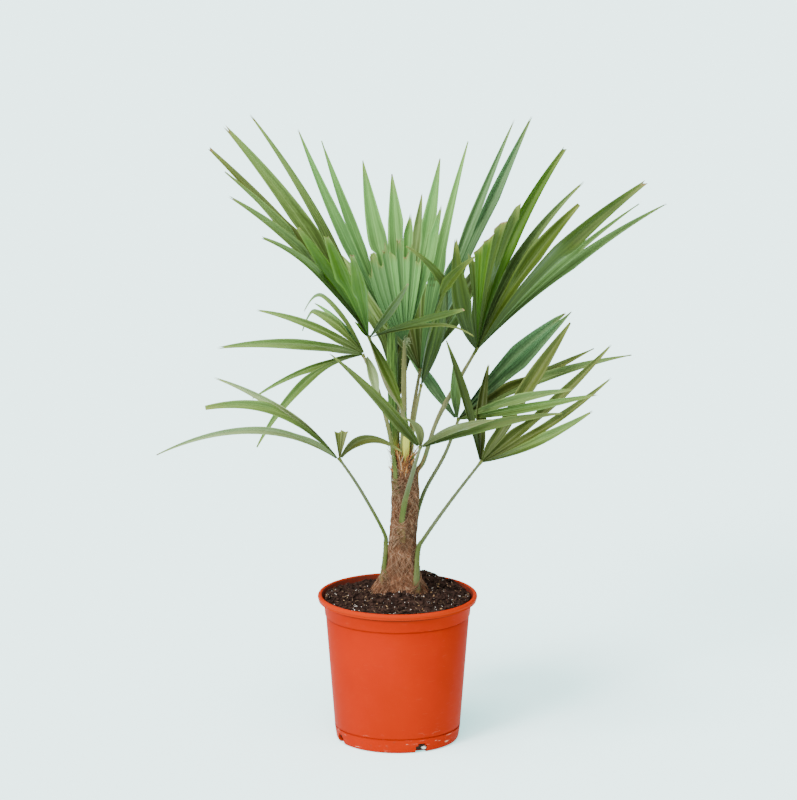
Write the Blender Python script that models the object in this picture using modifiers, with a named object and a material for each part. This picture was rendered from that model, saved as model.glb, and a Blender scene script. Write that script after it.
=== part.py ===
"""Potted windmill palm: a young fan palm in a turned plastic nursery pot.

Metres, +Z up. The origin is at the centre of the pot's flat underside, and -Y is the front.
"""

import math
from collections import namedtuple

import bpy
from mathutils import Matrix, Vector

GAP = 0.0003  # clearance kept between two pieces that touch

# Pot
POT_HEIGHT = 0.196
LIP_RADIUS = 0.105
LIP_HEIGHT = 0.008
LIP_WIDTH = 0.0062
COLLAR_TOP_RADIUS = 0.0972
COLLAR_FOOT_RADIUS = 0.0955
COLLAR_DROP = 0.027  # from the top of the lip to the step under the collar
STEP_DEPTH = 0.0011
FOOT_BAND_HEIGHT = 0.0195
FOOT_BAND_RADIUS = 0.0828
GROOVE_DEPTH = 0.0007
UNDERSIDE_RADIUS = 0.0768
FOOT_CORNER = 0.0045
WALL = 0.0022
POT_STEPS = 48
DRAIN_COUNT = 4
DRAIN_FIRST_TURN = -67.0  # degrees round from +X to the notch at the front right
DRAIN_WIDTH = 0.016
DRAIN_HEIGHT = 0.0125
DRAIN_REACH_IN = 0.070

# Soil
SOIL_RIM_HEIGHT = 0.1895
SOIL_TOP_HEIGHT = 0.1997
SOIL_TOP_RADIUS = 0.044

# Trunk: the height, the lean to the right of the axis, and the radius at each level
TRUNK_LEVELS = (
    (0.2000, 0.0030, 0.0350),
    (0.2120, 0.0030, 0.0305),
    (0.2250, 0.0038, 0.0258),
    (0.2420, 0.0052, 0.0214),
    (0.2620, 0.0066, 0.0180),
    (0.2900, 0.0074, 0.0166),
    (0.3150, 0.0074, 0.0150),
    (0.3350, 0.0070, 0.0140),
    (0.3720, 0.0070, 0.0140),
    (0.3850, 0.0068, 0.0136),
)
TRUNK_BEVEL_RINGS = 4

# Fan leaves
BLADE_THICKNESS = 0.0012
HUB_RADIUS = 0.005  # where the segments start, round the end of the stalk
WEB_FOOT = 0.016  # every segment is joined to the next as far as here
STALK_TIP_RADIUS = 0.0021
TIP_WIDTH = 0.0022
FREE_ROWS = 4
WIDEST_SHARE = 0.35  # where along a segment it is widest

# A leaf's segment. lean: degrees to the right of upright, seen from the front.
# reach: hub to tip, seen from the front. back: how far the tip lies behind the hub.
# width: at its widest. web: how far from the hub it stays joined to the next segment.
# arch: how far it rises off the straight line to its tip, as a share of its length.
# crest: where along it that rise is greatest.
Segment = namedtuple("Segment", "lean reach back width web arch crest", defaults=(0.0, 0.03, 0.5))

# A leaf. stalk: (x, y, z, radius) from the trunk up to the hub, which ends it.
Frond = namedtuple("Frond", "name stalk hub segments")

FRONDS = (
    Frond(
        "upper_left",
        (
            (0.0060, -0.0095, 0.3858, 0.0034),
            (0.0060, -0.0110, 0.3980, 0.0034),
            (0.0062, -0.0240, 0.4500, 0.0032),
            (-0.0136, -0.0450, 0.4880, 0.0030),
        ),
        (-0.0369, -0.0650, 0.5580),
        (
            Segment(-39, 0.217, -0.150, 0.013, 0.12),
            Segment(-40, 0.278, -0.110, 0.019, 0.16),
            Segment(-38, 0.300, -0.070, 0.018, 0.16),
            Segment(-38.5, 0.327, -0.030, 0.024, 0.16),
            Segment(-34, 0.334, 0.020, 0.026, 0.12),
            Segment(-28.5, 0.322, 0.060, 0.020),
            Segment(-27, 0.195, -0.120, 0.028, 0.10),
            Segment(-17, 0.178, -0.150, 0.026, 0.08),
            Segment(-8, 0.151, -0.160, 0.022),
            Segment(25, 0.120, -0.150, 0.018, 0.04),
            Segment(62, 0.139, -0.110, 0.018, 0.04, 0.08),
            Segment(80, 0.138, -0.090, 0.010, 0.0, 0.12, 0.6),
        ),
    ),
    Frond(
        "upper_right",
        (
            (0.0250, 0.0000, 0.3300, 0.0030),
            (0.0254, 0.0000, 0.3600, 0.0034),
            (0.0347, 0.0020, 0.3767, 0.0036),
            (0.0490, 0.0060, 0.4220, 0.0032),
            (0.0660, 0.0100, 0.4570, 0.0028),
        ),
        (0.1036, 0.0050, 0.5240),
        (
            Segment(-10, 0.155, -0.040, 0.024, 0.045, -0.09),
            Segment(-2, 0.142, -0.030, 0.022, 0.12),
            Segment(9, 0.190, -0.030, 0.030, 0.15),
            Segment(15, 0.212, -0.010, 0.026, 0.11),
            Segment(24, 0.282, 0.060, 0.022, 0.11),
            Segment(34.5, 0.248, 0.090, 0.020, 0.08),
            Segment(34.5, 0.232, 0.010, 0.032, 0.09),
            Segment(43.5, 0.316, -0.020, 0.034, 0.16),
            Segment(48.5, 0.283, 0.040, 0.018, 0.16),
            Segment(54, 0.307, 0.070, 0.022),
        ),
    ),
    Frond(
        "top",
        (
            (0.0085, -0.0005, 0.3858, 0.0042),
            (0.0085, -0.0030, 0.4469, 0.0042),
            (0.0085, -0.0010, 0.5009, 0.0036),
        ),
        (0.0098, 0.0000, 0.5370),
        (
            Segment(-25.5, 0.322, -0.030, 0.022, 0.16, 0.05),
            Segment(-22, 0.289, 0.000, 0.024, 0.105, 0.05),
            Segment(-17, 0.126, 0.000, 0.018, 0.105),
            Segment(-13, 0.245, 0.020, 0.028, 0.13),
            Segment(-4.5, 0.218, 0.030, 0.028, 0.13),
            Segment(2.5, 0.167, 0.030, 0.018, 0.13),
            Segment(6.5, 0.195, 0.020, 0.018, 0.13),
            Segment(10.5, 0.250, 0.000, 0.022, 0.13),
            Segment(15, 0.193, -0.030, 0.018),
        ),
    ),
    Frond(
        "top_back",
        (
            (0.0158, 0.0030, 0.3858, 0.0031),
            (0.0160, 0.0040, 0.3950, 0.0031),
            (0.0203, 0.0250, 0.4353, 0.0030),
        ),
        (0.0295, 0.0500, 0.4850),
        (
            Segment(-40, 0.170, 0.130, 0.026, 0.10),
            Segment(-20, 0.190, 0.160, 0.026, 0.10),
            Segment(0, 0.160, 0.150, 0.026, 0.10),
            Segment(12.5, 0.294, 0.100, 0.018, 0.13),
            Segment(21.5, 0.341, 0.100, 0.020, 0.19),
            Segment(24.5, 0.350, 0.080, 0.028, 0.12),
            Segment(34.5, 0.175, 0.110, 0.030, 0.10),
            Segment(41, 0.122, 0.130, 0.030),
        ),
    ),
    Frond(
        "top_front",
        (
            (0.0190, -0.0060, 0.3858, 0.0024),
            (0.0195, -0.0060, 0.3950, 0.0024),
            (0.0240, -0.0080, 0.4353, 0.0022),
        ),
        (0.0300, -0.0150, 0.4800),
        (
            Segment(-7, 0.190, -0.080, 0.014, 0.11, 0.20, 0.62),
            Segment(20, 0.190, -0.090, 0.014, 0.0, 0.10, 0.62),
        ),
    ),
    Frond(
        "lower_right",
        (
            (0.0245, -0.0282, 0.2130, 0.0038),
            (0.0270, -0.0108, 0.2573, 0.0035),
            (0.0360, -0.0120, 0.2763, 0.0028),
            (0.0700, -0.0200, 0.3280, 0.0024),
        ),
        (0.1082, -0.0300, 0.3815),
        (
            Segment(-15, 0.174, -0.015, 0.014, 0.0),
            Segment(6, 0.111, 0.090, 0.012, 0.0),
            Segment(35, 0.206, 0.080, 0.032, 0.05),
            Segment(50.5, 0.223, 0.070, 0.020, 0.06),
            Segment(58, 0.202, 0.030, 0.018, 0.07),
            Segment(62, 0.165, -0.030, 0.020, 0.0, -0.07),
        ),
    ),
    Frond(
        "right",
        (
            (0.0226, 0.0137, 0.2880, 0.0030),
            (0.0300, 0.0150, 0.3158, 0.0029),
            (0.0387, 0.0170, 0.3375, 0.0027),
            (0.0624, 0.0220, 0.3800, 0.0025),
        ),
        (0.0781, 0.0250, 0.4253),
        (
            Segment(-41, 0.105, 0.070, 0.020, 0.0),
            Segment(-3, 0.092, -0.065, 0.016, 0.0),
            Segment(52, 0.193, 0.120, 0.044, 0.08, 0.06),
            Segment(68.5, 0.195, 0.100, 0.018, 0.10),
            Segment(72.5, 0.241, 0.060, 0.018, 0.0, 0.05),
            Segment(66, 0.163, -0.100, 0.016, 0.06, 0.05),
            Segment(71, 0.192, -0.110, 0.016, 0.0, 0.05),
        ),
    ),
    Frond(
        "front",
        (
            (0.0046, -0.0206, 0.2900, 0.0034),
            (0.0076, -0.0196, 0.3151, 0.0040),
            (0.0118, -0.0300, 0.3380, 0.0036),
            (0.0202, -0.0600, 0.3778, 0.0030),
        ),
        (0.0291, -0.1000, 0.4200),
        (
            Segment(-39, 0.185, -0.070, 0.026, 0.0, 0.06),
            Segment(-19, 0.064, -0.050, 0.018, 0.0, 0.20),
            Segment(56, 0.114, -0.100, 0.022, 0.07, 0.10),
            Segment(72, 0.192, -0.050, 0.022, 0.0, 0.05),
        ),
    ),
    Frond(
        "lower_left",
        (
            (-0.0182, -0.0206, 0.2250, 0.0030),
            (-0.0180, -0.0154, 0.2363, 0.0032),
            (-0.0154, -0.0030, 0.2627, 0.0033),
            (-0.0190, -0.0040, 0.2831, 0.0026),
            (-0.0503, -0.0200, 0.3455, 0.0023),
        ),
        (-0.0757, -0.0300, 0.3845),
        (
            Segment(-85, 0.238, -0.050, 0.018, 0.06, 0.165),
            Segment(-66.5, 0.190, -0.020, 0.022, 0.10, 0.19),
            Segment(-59, 0.191, 0.050, 0.018, 0.0, 0.09),
            Segment(1, 0.040, 0.000, 0.018, 0.0, 0.0),
            Segment(71, 0.086, -0.060, 0.017, 0.0, 0.20),
        ),
    ),
    Frond(
        "left",
        (
            (-0.0033, -0.0139, 0.3500, 0.0030),
            (-0.0035, -0.0140, 0.3700, 0.0032),
            (-0.0111, -0.0100, 0.4186, 0.0030),
            (-0.0268, 0.0060, 0.4741, 0.0028),
        ),
        (-0.0425, 0.0200, 0.5145),
        (
            Segment(-132.5, 0.193, 0.020, 0.017, 0.06, 0.16, 0.35),
            Segment(-116, 0.166, 0.050, 0.013, 0.0, 0.08),
            Segment(-92.5, 0.195, 0.070, 0.020, 0.04, 0.05),
            Segment(-77, 0.147, 0.110, 0.019, 0.04, 0.05),
            Segment(-88, 0.083, 0.120, 0.018, 0.04, 0.22, 0.8),
            Segment(-64, 0.075, 0.150, 0.013, 0.04, 0.05),
            Segment(-50, 0.080, 0.170, 0.010, 0.0, 0.20, 0.7),
        ),
    ),
    Frond(
        "back_left",
        (
            (0.0005, 0.0090, 0.3858, 0.0030),
            (0.0003, 0.0100, 0.3960, 0.0030),
            (-0.0010, 0.0300, 0.4400, 0.0028),
        ),
        (-0.0080, 0.0700, 0.4850),
        (
            Segment(-75, 0.110, 0.200, 0.026, 0.10, 0.10),
            Segment(-50, 0.110, 0.230, 0.028, 0.12, 0.10),
            Segment(-15, 0.100, 0.250, 0.030, 0.12, 0.10),
            Segment(20, 0.100, 0.250, 0.030, 0.10, 0.10),
            Segment(50, 0.110, 0.230, 0.028, 0.0, 0.10),
        ),
    ),
    Frond(
        "back_right",
        (
            (0.0098, 0.0100, 0.3858, 0.0030),
            (0.0100, 0.0110, 0.3960, 0.0030),
            (0.0125, 0.0350, 0.4150, 0.0028),
        ),
        (0.0180, 0.0700, 0.4300),
        (
            Segment(-60, 0.100, 0.180, 0.026, 0.10, 0.10),
            Segment(-20, 0.060, 0.220, 0.028, 0.12, 0.10),
            Segment(40, 0.060, 0.230, 0.030, 0.10, 0.10),
            Segment(75, 0.110, 0.220, 0.028, 0.0, 0.10),
        ),
    ),
)

# The young folded leaf that stands in the middle of the crown
SPEAR_POINTS = (
    (-0.0022, 0.0000, 0.3860, 0.0036),
    (-0.0060, 0.0000, 0.4300, 0.0050),
    (-0.0072, 0.0020, 0.5000, 0.0065),
    (-0.0072, 0.0060, 0.5700, 0.0050),
    (-0.0060, 0.0100, 0.6300, 0.0015),
)

ORANGE = (0.64, 0.066, 0.014, 1.0)
DARK_BROWN = (0.020, 0.010, 0.006, 1.0)
FIBRE_BROWN = (0.26, 0.13, 0.075, 1.0)
LEAF_GREEN = (0.075, 0.16, 0.022, 1.0)
STALK_GREEN = (0.16, 0.20, 0.055, 1.0)
SHEATH_GREEN = (0.40, 0.44, 0.10, 1.0)


def clear_scene():
    for thing in list(bpy.data.objects):
        bpy.data.objects.remove(thing, do_unlink=True)


def collection(name):
    made = bpy.data.collections.new(name)
    bpy.context.scene.collection.children.link(made)
    return made


def material(name, colour, roughness, metallic=0.0):
    made = bpy.data.materials.new(name)
    made.use_nodes = True
    shader = made.node_tree.nodes["Principled BSDF"]
    shader.inputs["Base Color"].default_value = colour
    shader.inputs["Roughness"].default_value = roughness
    shader.inputs["Metallic"].default_value = metallic
    return made


def add_object(name, data, where, look):
    made = bpy.data.objects.new(name, data)
    where.objects.link(made)
    data.materials.append(look)
    return made


def turned(name, profile, where, look, steps):
    """A solid of revolution, from (radius, height) points that start and end on the axis."""
    mesh = bpy.data.meshes.new(name)
    points = [(radius, 0.0, height) for radius, height in profile]
    mesh.from_pydata(points, [(i, i + 1) for i in range(len(points) - 1)], [])
    made = add_object(name, mesh, where, look)
    screw = made.modifiers.new("Turn", "SCREW")
    screw.steps = steps
    screw.render_steps = steps
    screw.use_merge_vertices = True
    screw.merge_threshold = 0.0001
    screw.use_smooth_shade = True
    return made


def pot_outside():
    """(radius, height) down the outside of the pot, from the top of the lip."""
    roll = LIP_WIDTH / 2
    middle = LIP_RADIUS - roll
    lip_top = POT_HEIGHT - roll
    lip_foot = POT_HEIGHT - LIP_HEIGHT
    points = []
    for degrees in (90, 60, 30, 0):
        angle = math.radians(degrees)
        points.append((middle + roll * math.cos(angle), lip_top + roll * math.sin(angle)))
    points.append((LIP_RADIUS - 0.0008, lip_foot))
    points.append((COLLAR_TOP_RADIUS, lip_foot - 0.0010))
    step = POT_HEIGHT - COLLAR_DROP
    points.append((COLLAR_FOOT_RADIUS, step))
    points.append((COLLAR_FOOT_RADIUS - STEP_DEPTH, step - 0.0012))
    points.append((FOOT_BAND_RADIUS, FOOT_BAND_HEIGHT + 0.0010))
    points.append((FOOT_BAND_RADIUS - GROOVE_DEPTH, FOOT_BAND_HEIGHT))
    points.append((FOOT_BAND_RADIUS, FOOT_BAND_HEIGHT - 0.0010))
    points.append((UNDERSIDE_RADIUS + FOOT_CORNER * 0.9, FOOT_CORNER))
    points.append((UNDERSIDE_RADIUS + FOOT_CORNER * 0.5, FOOT_CORNER * 0.25))
    points.append((UNDERSIDE_RADIUS, 0.0))
    return points


def inside_radius(height):
    """Radius of the inside of the pot's wall, a plain cone under the lip."""
    foot = FOOT_BAND_RADIUS - GROOVE_DEPTH - WALL - 0.0010
    top = COLLAR_FOOT_RADIUS - STEP_DEPTH - WALL
    share = (height - WALL) / (POT_HEIGHT - COLLAR_DROP - WALL)
    return foot + (top - foot) * min(share, 1.0)


def make_pot(where, cutters):
    look = material("pot_plastic", ORANGE, 0.42)
    mouth = LIP_RADIUS - LIP_WIDTH
    inner = [
        (0.0, WALL),
        (inside_radius(WALL) - 0.004, WALL),
        (inside_radius(WALL), WALL + 0.004),
        (inside_radius(POT_HEIGHT), POT_HEIGHT - COLLAR_DROP),
        (mouth - 0.0006, POT_HEIGHT - LIP_HEIGHT),
        (mouth, POT_HEIGHT - LIP_WIDTH / 2),
        (mouth + 0.0009, POT_HEIGHT - 0.0012),
    ]
    pot = turned("pot", inner + pot_outside() + [(0.0, 0.0)], where, look, POT_STEPS)
    for number in range(DRAIN_COUNT):
        cut_drain(pot, cutters, number)
    return pot


def cut_drain(pot, cutters, number):
    """A notch through the corner where the pot's wall meets its floor."""
    outer = FOOT_BAND_RADIUS + 0.01
    length = outer - DRAIN_REACH_IN
    turn = math.radians(DRAIN_FIRST_TURN + 360.0 / DRAIN_COUNT * number)
    middle = DRAIN_REACH_IN + length / 2
    bpy.ops.mesh.primitive_cube_add(size=1.0)
    cutter = bpy.context.object
    cutter.name = f"drain_cutter_{number}"
    cutter.data.transform(Matrix.Diagonal((length, DRAIN_WIDTH, DRAIN_HEIGHT * 2, 1.0)))
    cutter.location = (middle * math.cos(turn), middle * math.sin(turn), 0.0)
    cutter.rotation_euler = (0.0, 0.0, turn)
    for old in list(cutter.users_collection):
        old.objects.unlink(cutter)
    cutters.objects.link(cutter)
    cutter.hide_render = True
    cutter.display_type = "WIRE"
    cut = pot.modifiers.new(f"Drain {number}", "BOOLEAN")
    cut.operation = "DIFFERENCE"
    cut.object = cutter


def make_soil(where):
    look = material("soil", DARK_BROWN, 0.95)
    floor = WALL + GAP
    # A turned facet lies inside its circle, so the clearance is a little wider than the gap.
    clear = GAP + 0.0005
    profile = [
        (0.0, SOIL_TOP_HEIGHT),
        (SOIL_TOP_RADIUS, SOIL_TOP_HEIGHT),
        (0.070, SOIL_RIM_HEIGHT + 0.003),
        (inside_radius(SOIL_RIM_HEIGHT) - clear, SOIL_RIM_HEIGHT),
        (inside_radius(POT_HEIGHT) - clear, POT_HEIGHT - COLLAR_DROP),
        (inside_radius(WALL) - clear - 0.0004, floor + 0.005),
        (inside_radius(WALL) - 0.006, floor),
        (0.0, floor),
    ]
    return turned("soil", profile, where, look, POT_STEPS)


def limb(name, points, where, look, rings, smooth):
    """A round limb along (x, y, z, radius) points, with flat ends."""
    curve = bpy.data.curves.new(name, "CURVE")
    curve.dimensions = "3D"
    curve.bevel_depth = 1.0
    curve.bevel_resolution = rings
    curve.use_fill_caps = True
    curve.resolution_u = 3
    if smooth:
        spline = curve.splines.new("BEZIER")
        spline.bezier_points.add(len(points) - 1)
        for knot, (x, y, z, radius) in zip(spline.bezier_points, points):
            knot.co = (x, y, z)
            knot.radius = radius
            knot.handle_left_type = "AUTO"
            knot.handle_right_type = "AUTO"
    else:
        spline = curve.splines.new("POLY")
        spline.points.add(len(points) - 1)
        for knot, (x, y, z, radius) in zip(spline.points, points):
            knot.co = (x, y, z, 1.0)
            knot.radius = radius
    return add_object(name, curve, where, look)


def make_trunk(where):
    look = material("trunk_fibre", FIBRE_BROWN, 0.9)
    points = [(lean, 0.0, height, radius) for height, lean, radius in TRUNK_LEVELS]
    return limb("trunk", points, where, look, TRUNK_BEVEL_RINGS, False)


def chord_of(segment):
    """The straight line from a leaf's hub to the tip of one of its segments."""
    lean = math.radians(segment.lean)
    return Vector((segment.reach * math.sin(lean), segment.back, segment.reach * math.cos(lean)))


def along(hub, segment, distance):
    """The point on a segment's middle line at this distance from the hub."""
    chord = chord_of(segment)
    share = distance / chord.length
    upright = Vector((0.0, 0.0, 1.0))
    rise = (upright - chord.normalized() * upright.dot(chord.normalized())).normalized()
    if share < segment.crest:
        bump = share / segment.crest * (2.0 - share / segment.crest)
    else:
        bump = 1.0 - ((share - segment.crest) / (1.0 - segment.crest)) ** 2
    return hub + chord * share + rise * segment.arch * chord.length * bump


def direction(hub, segment, distance):
    step = 0.002
    return (along(hub, segment, distance + step) - along(hub, segment, distance - step)).normalized()


def sideways(hub, segments):
    """For each segment, the way across it at its root, towards the next one."""
    starts = [direction(hub, segment, WEB_FOOT) for segment in segments]
    last = len(segments) - 1
    return [starts[min(i + 1, last)] - starts[max(i - 1, 0)] for i in range(last + 1)]


def half_width(hub, segments, i, distance):
    """Half of segment i's width at this distance, kept clear of the segments beside it."""
    segment = segments[i]
    share = distance / chord_of(segment).length
    if share < WIDEST_SHARE:
        profile = 0.45 + 0.55 * math.sin(math.pi / 2 * share / WIDEST_SHARE)
    else:
        profile = max(1.0 - (share - WIDEST_SHARE) / (1.0 - WIDEST_SHARE), 0.0) ** 0.8
    half = max(segment.width * profile, TIP_WIDTH) / 2
    here = along(hub, segment, distance)
    for other in segments[max(i - 1, 0) : i] + segments[i + 1 : i + 2]:
        if distance < chord_of(other).length:
            half = min(half, 0.47 * (along(hub, other, distance) - here).length)
    return half


def blade_surface(hub, segments):
    """Points and faces of a fan leaf, as a sheet one quad wide along each segment."""
    points = []
    faces = []
    across = sideways(hub, segments)
    seams = {}
    webs = [max(segment.web, WEB_FOOT) for segment in segments]
    joined_rows = sorted({HUB_RADIUS, *webs})

    def add(point):
        points.append(point)
        return len(points) - 1

    def edge(i, side, distance):
        """The left (-1) or right (+1) edge of segment i, shared with its neighbour inside their web."""
        segment = segments[i]
        j = i + side
        if 0 <= j < len(segments) and distance <= webs[min(i, j)]:
            key = (min(i, j), distance)
            if key not in seams:
                middle = (along(hub, segment, distance) + along(hub, segments[j], distance)) / 2 - hub
                if distance == HUB_RADIUS:
                    middle = middle.normalized() * HUB_RADIUS
                seams[key] = add(hub + middle)
            return seams[key]
        onward = direction(hub, segment, distance)
        way = (across[i] - onward * across[i].dot(onward)).normalized()
        return add(along(hub, segment, distance) + way * side * half_width(hub, segments, i, distance))

    for i, segment in enumerate(segments):
        length = chord_of(segment).length
        web = max(webs[max(i - 1, 0)] if i else WEB_FOOT, webs[i] if i < len(segments) - 1 else WEB_FOOT)
        rows = [distance for distance in joined_rows if distance <= web]
        rows += [web + (length - web) * (row + 1) / FREE_ROWS for row in range(FREE_ROWS)]
        ends = [(edge(i, -1, distance), edge(i, 1, distance)) for distance in rows]
        for (left, right), (far_left, far_right) in zip(ends, ends[1:]):
            faces.append((left, right, far_right, far_left))
    return points, faces


def make_blade(frond, where, look):
    hub = Vector(frond.hub)
    points, faces = blade_surface(hub, frond.segments)
    mesh = bpy.data.meshes.new(f"{frond.name}_blade")
    mesh.from_pydata(points, [], faces)
    made = add_object(f"{frond.name}_blade", mesh, where, look)
    shell = made.modifiers.new("Thickness", "SOLIDIFY")
    shell.thickness = BLADE_THICKNESS
    shell.offset = 0.0
    return made


def make_stalk(frond, where, look):
    """The leaf stalk, which ends just inside the ring where the segments start."""
    hub = Vector(frond.hub)
    starts = [direction(hub, segment, WEB_FOOT) for segment in frond.segments]
    axis = sum(starts, Vector()).normalized()
    reach = math.sqrt(HUB_RADIUS**2 - STALK_TIP_RADIUS**2) - 1.8 * GAP
    arriving = (hub - Vector(frond.stalk[-1][:3])).normalized()
    end = hub + (axis + arriving).normalized() * reach
    points = frond.stalk + ((*end, STALK_TIP_RADIUS),)
    return limb(f"{frond.name}_stalk", points, where, look, 1, True)


def make_plant(where):
    make_trunk(where)
    stalk_look = material("leaf_stalk", STALK_GREEN, 0.55)
    blade_look = material("leaf_blade", LEAF_GREEN, 0.5)
    for frond in FRONDS:
        make_stalk(frond, where, stalk_look)
        make_blade(frond, where, blade_look)
    sheath = material("young_leaf", SHEATH_GREEN, 0.5)
    limb("spear_leaf", SPEAR_POINTS, where, sheath, 1, True)


def main():
    clear_scene()
    where = collection("potted_windmill_palm")
    cutters = collection("cutters")
    make_pot(where, cutters)
    make_soil(where)
    make_plant(where)


main()
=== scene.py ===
"""Looks of a potted windmill palm: pleated fan leaves, toothed stalks, a fibrous trunk, soil and a pot.

Metres, +Z up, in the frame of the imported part. The origin is under the middle of the pot, -Y is the front.
"""

import math
import random
from collections import namedtuple

import bmesh
import bpy
from bpy.props import FloatProperty, FloatVectorProperty, IntProperty, PointerProperty
from mathutils import Matrix, Vector, noise


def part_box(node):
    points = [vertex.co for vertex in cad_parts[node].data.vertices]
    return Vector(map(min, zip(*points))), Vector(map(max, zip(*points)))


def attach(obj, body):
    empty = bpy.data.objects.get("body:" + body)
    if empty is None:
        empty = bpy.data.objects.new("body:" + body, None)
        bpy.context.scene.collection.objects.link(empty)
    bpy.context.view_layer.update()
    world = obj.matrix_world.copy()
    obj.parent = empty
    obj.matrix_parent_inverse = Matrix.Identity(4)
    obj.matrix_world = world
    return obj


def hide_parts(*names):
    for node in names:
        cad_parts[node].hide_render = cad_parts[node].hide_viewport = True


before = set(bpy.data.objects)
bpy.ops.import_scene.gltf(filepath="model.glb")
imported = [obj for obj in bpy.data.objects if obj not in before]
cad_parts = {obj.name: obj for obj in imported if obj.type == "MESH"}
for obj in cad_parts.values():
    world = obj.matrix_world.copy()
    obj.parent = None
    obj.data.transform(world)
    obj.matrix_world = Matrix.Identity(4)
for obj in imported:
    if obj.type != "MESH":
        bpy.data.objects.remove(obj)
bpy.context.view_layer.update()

bl_info = {
    "name": "Potted windmill palm",
    "version": (1, 0, 0),
    "blender": (4, 5, 0),
    "location": "3D View > Sidebar > Palm",
    "description": "Leaves, stalks, fibrous trunk, soil, pot and studio of a potted windmill palm",
    "category": "Object",
}

BODY = "root"
POT_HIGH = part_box("pot")[1]
SOIL_LOW, SOIL_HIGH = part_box("soil")
TRUNK_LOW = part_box("trunk")[0]

# A segment's tone is None where it is drawn at random. Its lean is in degrees to the right of upright, its
# reach runs from the hub to its tip as seen from the front, and back is how far its tip lies behind the hub.
# It is joined to the next segment as far from the hub as web. It rises off a straight line by arch and
# swerves to the right by bow, both shares of its length and greatest at the share crest. It is widest at
# the share widest, tip is the width of its tip as a share, and slant is how far its end is cut askew.
Segment = namedtuple(
    "Segment",
    "tone lean reach back width web arch crest bow widest tip slant",
    defaults=(0.0, 0.03, 0.5, 0.0, None, None, 0.0),
)
Frond = namedtuple("Frond", "name tone widest tip hub stalk segments")

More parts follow.
